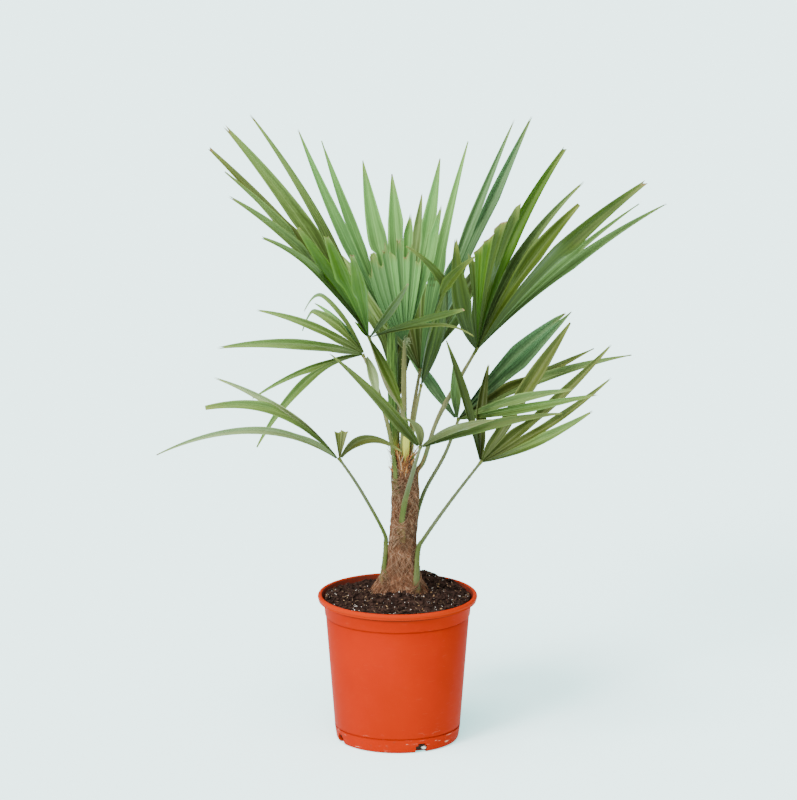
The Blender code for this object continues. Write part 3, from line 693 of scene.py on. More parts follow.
def leaf_finish(name, colour, light, hub=0.5, roughness=0.42, sheen=0.14):
    """Leaf skin with fine veins and a rib, painted shade at the hub and in stripes along its pleats, and
    lighter towards the tip, partly its own colour and partly a painted sheen.
    """
    finish = Finish(name)
    across, share = finish.leaf_place()
    side = abs(across)
    broad = finish.grain(38.0, (1.0, 1.0, 0.35))
    fine = finish.leaf_streaks(across, share)
    narrow = 1.0 - share.step(0.35, 0.9) * 0.85
    veins = (across * 22.0).sine() * 0.5 + 0.5
    # Painted shade: darker stripes across the leaflet stand for the shadow in its pleats.
    folds = (across * 10.0 + broad * 4.0).sine() * 0.5 + 0.5
    # Painted shade: the colour darkens towards the hub, for the shade in the middle of the fan.
    near = finish.blend(share.step(0.05, 0.5), shade(colour, hub), colour)
    # Lighter towards the tip, partly the leaflets' own paler tips and partly a painted sheen.
    tip_pale_and_sheen = finish.blend(share.step(0.28, 0.85) * (broad * 0.5 + 0.6), near, light)
    mottled = finish.blend(broad.step(0.25, 0.75) * 0.35, tip_pale_and_sheen, shade(colour, 0.5))
    # The stripes of painted pleat shade darken the colour.
    folded = finish.blend(folds * 0.34, mottled, shade(colour, 0.45))
    open_share = share.step(0.0, 0.45) * 0.7 + 0.3
    lined = finish.blend((veins * narrow * 0.18 + fine.step(0.35, 0.7) * 0.32) * open_share, folded, light)
    ribbed = finish.blend((1.0 - side.step(0.02, 0.11)) * open_share * 0.45, lined, shade(light, 1.25))
    edged = finish.blend(side.step(0.88, 0.98) * open_share * 0.5, ribbed, shade(light, 1.3))
    yellow = finish.blend(share.step(0.84, 1.0) * 0.55, edged, (0.20, 0.23, 0.05))
    burnt = finish.blend(
        share.step(0.965, 1.0) * finish.grain(260.0).step(0.5, 0.66), yellow, (0.17, 0.11, 0.05)
    )
    height = (veins * 0.35 + fine * 0.5) * narrow
    return finish.done(burnt, roughness + broad * 0.16 - 0.06, sheen, height, 0.32, 0.0006)


def dry_finish():
    finish = Finish("dry_tip")
    streaks = finish.grain(420.0, (1.0, 1.0, 0.15))
    colour = finish.blend(streaks.step(0.3, 0.7), (0.12, 0.075, 0.028), (0.32, 0.245, 0.115))
    return finish.done(colour, 0.8, 0.1, streaks, 0.4, 0.0008)


def stalk_finish():
    """Stalk with long fine lines: green at its foot, grey-green further out and khaki higher up."""
    finish = Finish("leaf_stalk")
    streaks = finish.grain(700.0, (1.0, 1.0, 0.05), 2.0)
    patches = finish.grain(60.0, (1.0, 1.0, 0.5))
    green = finish.blend(streaks, (0.030, 0.046, 0.006), (0.084, 0.108, 0.022))
    grey = finish.blend(streaks, (0.045, 0.050, 0.022), (0.120, 0.124, 0.066))
    khaki = finish.blend(streaks, (0.088, 0.076, 0.026), (0.240, 0.205, 0.092))
    colour = finish.blend(finish.from_axis().step(0.024, 0.050) * 0.8, green, grey)
    high = finish.rise().step(0.37, 0.45) * 0.6
    colour = finish.blend(high + patches.step(0.45, 0.75) * 0.2, colour, khaki)
    return finish.done(colour, 0.42 + patches * 0.2, 0.12, streaks, 0.35, 0.0006)


def fibre_finish(name, dark, light):
    finish = Finish(name)
    streaks = finish.grain(260.0, (1.0, 1.0, 0.4), 4.0)
    clumps = finish.grain(45.0)
    colour = finish.blend(streaks.step(0.3, 0.7), dark, light)
    colour = finish.blend(clumps.step(0.35, 0.7) * 0.5, colour, shade(dark, 0.6))
    return finish.done(colour, 0.9, 0.05, streaks, 0.6, 0.002)


# Property groups


def colour_property(name, description, default):
    return FloatVectorProperty(
        name=name, description=description, default=default, size=3, min=0.0, max=1.0, subtype="COLOR"
    )


def length_property(name, description, default):
    return FloatProperty(name=name, description=description, default=default, unit="LENGTH")


def count_property(name, description, default, least=0):
    return IntProperty(name=name, description=description, default=default, min=least)


class PotSettings(bpy.types.PropertyGroup):
    """Sizes and colours of the pot."""

    height: length_property("Height", "From the underside to the top of the lip", POT_HIGH[2])
    lip_radius: length_property("Lip radius", "Outside radius of the rolled lip", POT_HIGH[0])
    turn_steps: count_property("Steps", "Steps round the pot", 192, 24)
    plastic: colour_property("Plastic", "Colour of the pot", (0.335, 0.0132, 0.0004))
    # Paler plastic, used for faded patches and for a painted highlight on the lip.
    faded_and_lip_highlight: colour_property("Faded", "Colour of scuffed and faded plastic", (0.42, 0.034, 0.003))


class SoilSettings(bpy.types.PropertyGroup):
    """Sizes and colours of the soil."""

    clods: count_property("Clods", "How many crumbs lie on the soil", 1500)
    grit: count_property("Grit", "How many pale grains lie on the soil", 330)
    curls: count_property("Curls", "How many curls of fibre lie on the soil", 120)
    earth: colour_property("Earth", "Colour of damp soil", (0.022, 0.0115, 0.0085))


class TrunkSettings(bpy.types.PropertyGroup):
    """Sizes and colours of the trunk."""

    strands: count_property("Strands", "How many loose fibres cross the trunk", 2600)
    ragged: count_property("Ragged fibres", "How many fibres stand at the crown", 420)
    relief: length_property("Relief", "Height of the matted fibre", 0.0016)
    fibre: colour_property("Fibre", "Colour of the matted fibre", (0.150, 0.064, 0.033))
    pale: colour_property("Pale fibre", "Colour of loose fibres", (0.37, 0.215, 0.13))


class LeafSettings(bpy.types.PropertyGroup):
    """Colours of the leaves."""

    deep: colour_property("Deep", "Colour of the shaded upper side", (0.026, 0.046, 0.0035))
    mid: colour_property("Mid", "Colour of the upper side", (0.043, 0.076, 0.007))
    # Painted light: this lighter green is painted on segments that the light shines through.
    bright: colour_property("Bright", "Colour of young growth", (0.036, 0.100, 0.0015))
    olive: colour_property("Olive", "Colour of leaves that turn brownish", (0.050, 0.074, 0.009))
    pale: colour_property("Pale", "Colour of the bluish under side", (0.064, 0.135, 0.040))
    seed: count_property("Seed", "Seed of the leaflets' lengths and tips", 7)


class StageSettings(bpy.types.PropertyGroup):
    """The studio round the plant."""

    floor: colour_property("Floor", "Colour of the floor", (0.86, 0.95, 0.95))
    distance: length_property("Distance", "Camera to the aimed point", 10.0)
    elevation: FloatProperty(
        name="Elevation", description="Camera above level", default=math.radians(14.3), subtype="ANGLE"
    )


# Operators


class PALM_OT_pot(bpy.types.Operator):
    """Turn the nursery pot with its rolled lip, collar, groove and drain notches"""

    bl_idname = "palm.pot"
    bl_label = "Pot"

    def execute(self, context):
        settings = context.scene.palm_pot
        shape = Shape()
        rings = [circle(radius, height, settings.turn_steps) for radius, height in self.profile(settings)]
        shape.loft(rings, 0, flip=True)
        pot = shape.make("nursery_pot", [])
        cutters = [self.cut_drain(pot, number) for number in range(4)]
        mesh = bpy.data.meshes.new_from_object(pot.evaluated_get(context.evaluated_depsgraph_get()))
        pot.modifiers.clear()
        pot.data = mesh
        for cutter in cutters:
            bpy.data.objects.remove(cutter, do_unlink=True)
        mesh.materials.clear()
        mesh.materials.append(self.plastic(settings))
        mesh.shade_smooth()
        mesh.set_sharp_from_angle(angle=math.radians(35))
        keep(pot, "pot", "pot")
        return {"FINISHED"}

    def profile(self, settings):
        """(radius, height) from the inside floor over the lip and down the outside."""
        top = settings.height
        lip = settings.lip_radius
        roll = 0.0031
        turns = [math.radians(degrees) for degrees in range(160, -61, -20)]
        inside = [(0.0, 0.0024), (0.0745, 0.0024), (0.0785, 0.0062), (0.0919, top - 0.027)]
        rim = [(lip - roll + roll * math.cos(turn), top - roll + roll * math.sin(turn)) for turn in turns]
        collar = [
            (lip - 0.0012, top - 0.0078), (lip - 0.003, top - 0.0084), (0.0974, top - 0.0088),
            (0.097, top - 0.01), (0.0956, top - 0.0255), (0.0954, top - 0.0264), (0.0945, top - 0.027),
            (0.0937, top - 0.0276), (0.0936, top - 0.0284), (0.0942, top - 0.0298),
        ]
        foot = [
            (0.0829, 0.0212), (0.0825, 0.0204), (0.0818, 0.0198), (0.0819, 0.019), (0.0828, 0.0184),
            (0.0808, 0.005), (0.0801, 0.0026), (0.079, 0.001), (0.0768, 0.0), (0.0, 0.0),
        ]
        return inside + [(0.0972, top - 0.0085)] + rim + collar + foot

    def cut_drain(self, pot, number):
        """Cuts a notch with a rounded top through the corner of wall and floor, and returns its cutter."""
        turn = math.radians(-67.0 + 90.0 * number)
        length = 0.026
        bpy.ops.mesh.primitive_cube_add(size=1.0)
        cutter = bpy.context.object
        cutter.name = f"drain_cutter_{number}"
        cutter.data.transform(Matrix.Diagonal((length, 0.016, 0.025, 1.0)))
        bevelled = bmesh.new()
        bevelled.from_mesh(cutter.data)
        edges = [e for e in bevelled.edges if abs(e.verts[0].co.x - e.verts[1].co.x) > length / 2]
        bmesh.ops.bevel(bevelled, geom=edges, offset=0.003, segments=4, affect="EDGES")
        bevelled.to_mesh(cutter.data)
        bevelled.free()
        cutter.location = polar(0.07 + length / 2, turn)
        cutter.rotation_euler = (0.0, 0.0, turn)
        cutter.hide_render = True
        cut = pot.modifiers.new(f"Drain {number}", "BOOLEAN")
        cut.operation = "DIFFERENCE"
        cut.object = cutter
        return cutter

    def plastic(self, settings):
        """Moulded plastic with a faint mottle, pale scuffs low down, a little dust, a painted highlight on
        the lip, painted shadow in the grooves and painted shade with some dirt on the inner wall.
        """
        finish = Finish("pot_plastic")
        base = settings.plastic
        top = POT_HIGH[2]
        rise = finish.rise()
        broad = finish.grain(14.0)
        cloud = finish.grain(70.0)
        fine = finish.grain(1400.0, detail=2.0)
        colour = finish.blend(broad.step(0.3, 0.75), shade(base, 0.97), shade(base, 1.05))
        colour = finish.blend(cloud.step(0.5, 0.8) * 0.10, colour, settings.faded_and_lip_highlight)
        scuffs = finish.grain(55.0, (1.0, 1.0, 6.0), 6.0, 0.7).step(0.6, 0.68)
        low = 1.0 - rise.step(0.012, 0.03)
        colour = finish.blend(scuffs * (low * 0.6 + 0.03), colour, (0.66, 0.36, 0.24))
        # Painted highlight: the top of the rolled lip is blended towards the paler plastic colour.
        lip = rise.step(top - 0.012, top - 0.004)
        colour = finish.blend(lip * 0.4, colour, settings.faded_and_lip_highlight)
        dirt = finish.grain(160.0, detail=5.0).step(0.62, 0.72)
        colour = finish.blend(dirt * (low * 0.5 + lip * 0.3), colour, (0.10, 0.045, 0.025))
        for groove in (top - 0.0280, 0.0194):
            shadow = 1.0 - abs(rise - groove).step(0.0004, 0.0018)
            colour = finish.blend(shadow * 0.45, colour, shade(base, 0.45))
        # Painted shade with some dirt: the inside of the wall is darkened to a dark brownish red, patchy with
        # the cloud.
        flare = finish.from_axis() - (rise - 0.169) * 0.2865
        inside = 1.0 - flare.step(0.0921, 0.0926)
        colour = finish.blend(inside * (cloud * 0.4 + 0.65), colour, (0.060, 0.018, 0.012))
        roughness = 0.42 + cloud * 0.12 + scuffs * 0.1
        return finish.done(colour, roughness, 0.012, fine * 0.3 + cloud * 0.5, 0.14, 0.0008)


class PALM_OT_soil(bpy.types.Operator):
    """Fill the pot with lumpy soil, with crumbs, pale grit and curls of fibre on it"""

    bl_idname = "palm.soil"
    bl_label = "Soil"

    def execute(self, context):
        settings = context.scene.palm_soil
        rng = random.Random(11)
        keep(self.ground(settings), "soil", "soil")
        keep(self.crumbs(settings, rng), "soil")
        keep(self.curls(settings, rng), "soil")
        return {"FINISHED"}

    def height(self, x, y):
        """Height of the soil's surface."""
        radius = math.hypot(x, y)
        edge = 0.1938 - 0.0044 * smooth(-0.1, 0.6, y / max(radius, 0.01))
        height = mixed(0.1995, edge, smooth(0.035, 0.088, radius))
        for rise, middle_x, middle_y, wide, deep in MOUNDS:
            height += rise * smooth(1.0, 0.0, math.hypot((x - middle_x) / wide, (y - middle_y) / deep))
        return height + 0.0021 * noise.fractal(Vector((x * 62, y * 62, 3.0)), 0.8, 2.0, 5)

    def ground(self, settings):
        shape = Shape()
        edge = 0.0958
        count = 60
        steps = 180
        rings = []
        for number in range(count + 1):
            ring = circle(edge * number / count, 0.0, steps)
            rings.append([Vector((x, y, self.height(x, y))) for x, y, z in ring])
        below = ((0.0905, SOIL_HIGH[2] - 0.035), (0.0790, 0.0085), (0.0730, SOIL_LOW[2]), (0.0, SOIL_LOW[2]))
        rings += [circle(radius, height, steps) for radius, height in below]
        shape.loft(rings, 0, flip=True)
        return shape.make("soil_ground", [self.earth("soil_earth", settings)])

    def earth(self, name, settings):
        finish = Finish(name)
        clumps = finish.grain(120.0, detail=5.0)
        fine = finish.grain(700.0, detail=4.0)
        colour = finish.blend(clumps.step(0.35, 0.7), shade(settings.earth, 0.5), shade(settings.earth, 2.1))
        colour = finish.blend(fine.step(0.62, 0.72) * 0.55, colour, (0.16, 0.10, 0.06))
        return finish.done(colour, 0.93, 0.05, fine + clumps, 0.8, 0.002)

    def crumbs(self, settings, rng):
        """Clods, grit and chips as small uneven lumps."""
        shape = Shape()
        for number in range(settings.clods + settings.grit):
            grit = number >= settings.clods
            x, y = self.spot(rng)
            size = rng.uniform(0.0004, 0.0010) if grit else 0.0008 + 0.0026 * rng.random() ** 2.2
            look = 1 if grit else (2 if size < 0.0022 and rng.random() < 0.10 else 0)
            self.lump(shape, Vector((x, y, self.height(x, y) + size * 0.35)), size, look, rng)
        in_notch = Vector((0.0345, -0.0700, 0.0062))
        self.lump(shape, in_notch, 0.0034, 1, rng)
        return shape.make("soil_crumbs", [
            self.earth("soil_crumb", settings),
            fibre_finish("soil_grit", (0.42, 0.38, 0.33), (0.78, 0.74, 0.68)),
            fibre_finish("soil_chip", (0.13, 0.07, 0.035), (0.38, 0.24, 0.13)),
        ])

    def spot(self, rng):
        """A place on the soil between the trunk and the wall."""
        while True:
            radius = 0.0945 * math.sqrt(rng.random())
            turn = rng.uniform(0.0, TURN)
            if radius > 0.027:
                return radius * math.cos(turn), radius * math.sin(turn)

    def lump(self, shape, centre, size, look, rng):
        """An uneven six-sided lump, cut at random."""
        squash = Vector((rng.uniform(0.7, 1.4), rng.uniform(0.7, 1.4), rng.uniform(0.5, 0.9)))
        turn = Matrix.Rotation(rng.uniform(0, 6.28), 3, "Z") @ Matrix.Rotation(rng.uniform(-0.7, 0.7), 3, "X")
        rings = []
        for height, radius in ((-0.95, 0.35), (-0.4, 0.9), (0.35, 0.95), (0.9, 0.45)):
            ring = []
            for k in range(6):
                reach = radius * rng.uniform(0.75, 1.2)
                local = polar(reach, TURN * k / 6, height * rng.uniform(0.8, 1.1))
                ring.append(centre + turn @ (local * squash) * size)
            rings.append(ring)
        shape.loft(rings, look)

    def curls(self, settings, rng):
        """Fine roots and curls of fibre lying on the soil."""
        shape = Shape()
        for number in range(settings.curls):
            x, y = self.spot(rng)
            heading = rng.uniform(0, TURN)
            bend = rng.uniform(-0.35, 0.35)
            step = rng.uniform(0.0009, 0.0016)
            path = []
            for knot in range(rng.randint(7, 14)):
                path.append(Vector((x, y, self.height(x, y) + 0.0006 + 0.0007 * math.sin(knot * 0.9))))
                heading += bend
                x += step * math.cos(heading)
                y += step * math.sin(heading)
                if math.hypot(x, y) > 0.0905:
                    break
            if len(path) > 3:
                thread(shape, path, rng.uniform(0.00014, 0.00032), 0, 4)
        return shape.make("soil_curls", [fibre_finish("soil_fibre", (0.16, 0.095, 0.05), (0.50, 0.36, 0.22))])


def thread(shape, path, radius, look, sides=3, end=0.35):
    """A thin round thread along a path, which narrows to the share end and is closed at both ends."""
    rings = []
    last = len(path) - 1
    for number, point in enumerate(path):
        onward = (path[min(number + 1, last)] - path[max(number - 1, 0)]).normalized()
        side = (side - onward * side.dot(onward)).normalized() if rings else onward.orthogonal().normalized()
        up = onward.cross(side)
        size = radius * mixed(1.0, end, number / last)
        angles = [TURN * k / sides for k in range(sides)]
        rings.append([point + (side * math.cos(a) + up * math.sin(a)) * size for a in angles])
    shape.loft(rings, look)


def trunk_at(height):
    """The trunk's lean and radius at this height."""
    for (z0, x0, r0), (z1, x1, r1) in zip(TRUNK_LEVELS, TRUNK_LEVELS[1:]):
        if height <= z1:
            share = max((height - z0) / (z1 - z0), 0.0)
            return mixed(x0, x1, share), mixed(r0, r1, share)
    return TRUNK_LEVELS[-1][1:]


class PALM_OT_trunk(bpy.types.Operator):
    """Grow the trunk with matted fibre, loose strands and a ragged crown"""

    bl_idname = "palm.trunk"
    bl_label = "Trunk"

    def execute(self, context):
        settings = context.scene.palm_trunk
        rng = random.Random(5)
        keep(self.body(settings), "trunk", "trunk")
        keep(self.strands(settings, rng), "trunk")
        keep(self.ragged_crown(settings, rng), "trunk")
        return {"FINISHED"}

    def surface(self, turn, height, relief):
        """A point on the matted surface of the trunk."""
        lean, radius = trunk_at(height)
        arc = turn * 0.016
        weave = noise.fractal(Vector((arc * 320 + height * 150, height * 120, turn)), 0.9, 2.0, 4)
        lumps = noise.noise(Vector((math.cos(turn) * 2.2, math.sin(turn) * 2.2, height * 46)))
        scale = math.sin((height - FOOT) * 210 + 2.0 * math.sin(turn * 2 + height * 30))
        offset = relief * (0.75 * weave + 0.8 * lumps + 0.35 * scale) - relief * 0.6
        old_sheath = smooth(0.285, 0.315, height) * (1.0 - smooth(0.352, 0.378, height))
        offset += 0.0055 * old_sheath * max(math.cos(turn), 0.0) ** 1.5
        return polar(radius + offset, turn, height, lean)

    def body(self, settings):
        shape = Shape()
        steps = 160
        levels = 220
        low = FOOT - 0.0015
        rings = [[Vector((TRUNK_LEVELS[0][1], 0.0, low))]]
        for level in range(levels + 1):
            height = mixed(low, CROWN, level / levels)
            rings.append([self.surface(TURN * k / steps, height, settings.relief) for k in range(steps)])
        rings.append([Vector((TRUNK_LEVELS[-1][1], 0.0, CROWN))])
        shape.loft(rings, 0)
        look = fibre_finish("trunk_mat", shade(settings.fibre, 0.45), shade(settings.fibre, 1.5))
        return shape.make("trunk_mat", [look])

    def strands(self, settings, rng):
        """Loose fibres that cross the trunk, bind the stalks' feet and spread over the soil."""
        shape = Shape()
        for number in range(settings.strands):
            self.strand(shape, settings.relief, rng)
        for frond in FRONDS:
            if frond.stalk[0][2] < TRUNK_LEVELS[-2][0]:
                self.bind(shape, frond.stalk[0], rng)
        for number in range(260):
            self.foot_fibre(shape, rng)
        return shape.make("trunk_strands", [
            fibre_finish("strand_pale", shade(settings.pale, 0.75), settings.pale),
            fibre_finish("strand_dark", shade(settings.fibre, 0.8), shade(settings.fibre, 1.6)),
        ])

    def strand(self, shape, relief, rng):
        """A fibre that climbs or falls aslant round the trunk."""
        height = rng.uniform(FOOT + 0.002, CROWN - 0.003)
        turn = rng.uniform(0, TURN)
        slope = rng.choice((-1, 1)) * math.radians(rng.uniform(25, 75))
        length = rng.uniform(0.008, 0.034)
        knots = 9
        step = length / knots
        path = []
        for knot in range(knots):
            radius = trunk_at(height)[1]
            lift = 0.0004 + 0.0012 * rng.random() * math.sin(math.pi * knot / (knots - 1))
            path.append(self.surface(turn, height, relief) + polar(lift, turn))
            turn += step * math.cos(slope) / radius
            height = min(max(height + step * math.sin(slope), FOOT + 0.0005), CROWN - 0.001)
            slope += rng.uniform(-0.12, 0.12)
        thread(shape, path, rng.uniform(0.00018, 0.00042), 0 if rng.random() < 0.5 else 1)

    def foot_fibre(self, shape, rng):
        """A fibre that runs down the trunk's flared foot and out on to the soil."""
        turn = rng.uniform(0, TURN)
        height = rng.uniform(0.2025, 0.2160)
        lean, radius = trunk_at(height)
        spread = TRUNK_LEVELS[0][2] + rng.uniform(0.0015, 0.0065) - radius
        swerve = rng.uniform(-0.12, 0.12)
        path = []
        for knot in range(7):
            share = knot / 6
            reach = radius - 0.0012 + 0.0016 * math.sin(math.pi * share) + spread * share
            path.append(polar(reach, turn + swerve * share, mixed(height, FOOT, share), lean))
        thread(shape, path, rng.uniform(0.0003, 0.0007), 0 if rng.random() < 0.35 else 1)

    def bind(self, shape, foot, rng):
        """Fibres that cross over the foot of a stalk."""
        x, y, z, thick = foot
        x -= trunk_at(z)[0]
        for number in range(46):
            height = z + rng.uniform(-0.016, 0.008)
            slope = rng.uniform(-0.011, 0.011)
            lift = rng.uniform(0.3, 0.9)
            path = []
            for knot in range(11):
                across = mixed(-1.7, 1.7, knot / 10)
                level = height + slope * across
                lean, radius = trunk_at(level)
                depth = mixed(ROOT_DEPTH, 1.0, min((level - z + ROOT_DROP) / ROOT_DROP, 1.0))
                proud = max(math.hypot(x, y) * depth + lift * thick - radius, 0.0)
                proud = proud * max(1.0 - (across / 1.5) ** 2, 0.0) + 0.0007
                turn = math.atan2(y, x) + across * 2.0 * thick / radius
                path.append(polar(radius + proud, turn, level, lean))
            thread(shape, path, rng.uniform(0.0002, 0.00045), 0 if rng.random() < 0.5 else 1)

    def ragged_crown(self, settings, rng):
        """Fibres and stubs that stand out between the stalks at the top of the trunk."""
        shape = Shape()
        for number in range(settings.ragged):
            turn = rng.uniform(0, TURN)
            height = rng.uniform(0.350, 0.384)
            lean, radius = trunk_at(height)
            outward = polar(1.0, turn)
            point = polar(radius * rng.uniform(0.7, 1.0), turn, height, lean)
            heading = (UP + outward * rng.uniform(-0.1, 0.35)).normalized()
            step = rng.uniform(0.010, 0.036) / 8
            path = []
            for knot in range(8):
                path.append(point.copy())
                swerve = Vector((rng.uniform(-1, 1), rng.uniform(-1, 1), rng.uniform(-0.6, 0.3)))
                heading = (heading + swerve * 0.16).normalized()
                point = point + heading * step
            thick = rng.uniform(0.00045, 0.0009) if number % 7 == 0 else rng.uniform(0.00015, 0.00034)
            thread(shape, path, thick, 0 if rng.random() < 0.75 else 1, 4)
        stubs = 34
        for number in range(stubs):
            turn = TURN * (number + rng.uniform(-0.4, 0.4)) / stubs
            height = rng.uniform(0.356, 0.380)
            lean, radius = trunk_at(height)
            outward = polar(1.0, turn)
            point = polar(radius * rng.uniform(0.8, 0.95), turn, height, lean)
            heading = UP + outward * rng.uniform(0.0, 0.45) + Vector((rng.uniform(-0.3, 0.3), 0, 0))
            step = rng.uniform(0.014, 0.026) / 6
            path = []
            for knot in range(6):
                path.append(point.copy())
                point = point + (heading + outward * 0.12 * knot).normalized() * step
            thread(shape, path, rng.uniform(0.0011, 0.0019), 0, 6, 0.06)
        orange = fibre_finish("crown_fibre", (0.27, 0.088, 0.026), (0.60, 0.25, 0.085))
        pale = fibre_finish("crown_pale", (0.40, 0.27, 0.15), (0.72, 0.54, 0.36))
        return shape.make("crown_fibres", [orange, pale])


def through(points, share):
    """A point and radius on a smooth line through (x, y, z, radius) points, at a share of its knots."""
    last = len(points) - 1
    at = min(max(share * last, 0.0), last - 1e-6)
    k = int(at)
    t = at - k
    p = [Vector(points[min(max(k + shift, 0), last)]) for shift in (-1, 0, 1, 2)]
    value = 0.5 * (
        2 * p[1] + (p[2] - p[0]) * t + (2 * p[0] - 5 * p[1] + 4 * p[2] - p[3]) * t * t
        + (3 * p[1] - p[0] - 3 * p[2] + p[3]) * t ** 3
    )
    return value.xyz, value.w


class PALM_OT_stalks(bpy.types.Operator):
    """Grow the leaf stalks, flat on their upper side, with small teeth on both edges"""

    bl_idname = "palm.stalks"
    bl_label = "Leaf stalks"

    def execute(self, context):
        looks = [
            stalk_finish(),
            fibre_finish("stalk_tooth", (0.20, 0.20, 0.06), (0.42, 0.36, 0.15)),
            fibre_finish("stalk_sheath", (0.080, 0.043, 0.018), (0.22, 0.13, 0.058)),
            fibre_finish("stalk_tongue", (0.050, 0.062, 0.012), (0.115, 0.120, 0.035)),
        ]
        for frond in FRONDS:
            keep(self.stalk(frond, random.Random(frond.name), looks), "stalk", f"{frond.name}_stalk")
        return {"FINISHED"}

    def stalk(self, frond, rng, looks):
        shape = Shape()
        hub = Vector(frond.hub)
        starts = [direction(hub, segment, WEB_FOOT) for segment in frond.segments]
        end = hub + sum(starts, Vector()).normalized() * 0.004
        points = (self.root(frond.stalk[0]), *frond.stalk, (*end, 0.0019))
        face = Fan(frond).facing(len(frond.segments) // 2, WEB_FOOT)
        rings = []
        for number in range(STALK_ROWS + 1):
            share = number / STALK_ROWS
            centre, radius = through(points, share)
            ahead = through(points, min(share + 0.01, 1.0))[0]
            behind = through(points, max(share - 0.01, 0.0))[0]
            onward = (ahead - behind).normalized()
            up = (face - onward * face.dot(onward)).normalized()
            side = onward.cross(up)
            boot = 1.0 - smooth(0.10, 0.34, share)
            width = radius * (0.92 + 0.75 * boot + 0.5 * smooth(0.95, 1.0, share))
            flat = radius * mixed(0.4, 1.0, smooth(0.0, 0.18, share))
            ring = []
            for k in range(STALK_SIDES):
                angle = TURN * k / STALK_SIDES
                high = math.sin(angle)
                thick = flat * (0.42 if high > 0 else 0.95)
                ring.append(centre + side * width * math.cos(angle) + up * thick * high)
            rings.append(ring)
            if 3 < number < STALK_ROWS - 2 and number % 2 == 0:
                for way in (-1, 1):
                    self.tooth(shape, centre + side * way * width * 0.96, side * way, onward, rng)
        fibrous = FIBROUS_ROWS.get(frond.name, USUAL_FIBROUS_ROWS)
        ragged = [rng.randint(*fibrous) for k in range(STALK_SIDES)]

        def look(row, k):
            """Sheath where the foot is fibrous, tongue next to the leaf and plain stalk between."""
            return 2 if row < ragged[k] else (3 if row > STALK_ROWS - 3 else 0)

        shape.loft(rings, look, ends=(2, 0))
        return shape.make(f"{frond.name}_leaf_stalk", looks)

    def root(self, foot):
        """A point inside the trunk, below the place where a stalk leaves it."""
        x, y, z, radius = foot
        lean = trunk_at(z)[0]
        return lean + (x - lean) * ROOT_DEPTH, y * ROOT_DEPTH, max(z - ROOT_DROP, TRUNK_LOW[2]), radius

    def tooth(self, shape, root, outward, onward, rng):
        size = rng.uniform(0.0004, 0.0008)
        base = [root + onward * size, root - onward * size, root + outward.cross(onward) * size * 0.6]
        first = shape.add(base + [root + outward * size * 1.5 + onward * size * 0.8])
        for corners in ((0, 1, 3), (1, 2, 3), (2, 0, 3), (0, 2, 1)):
            shape.face(tuple(first + corner for corner in corners), 1)


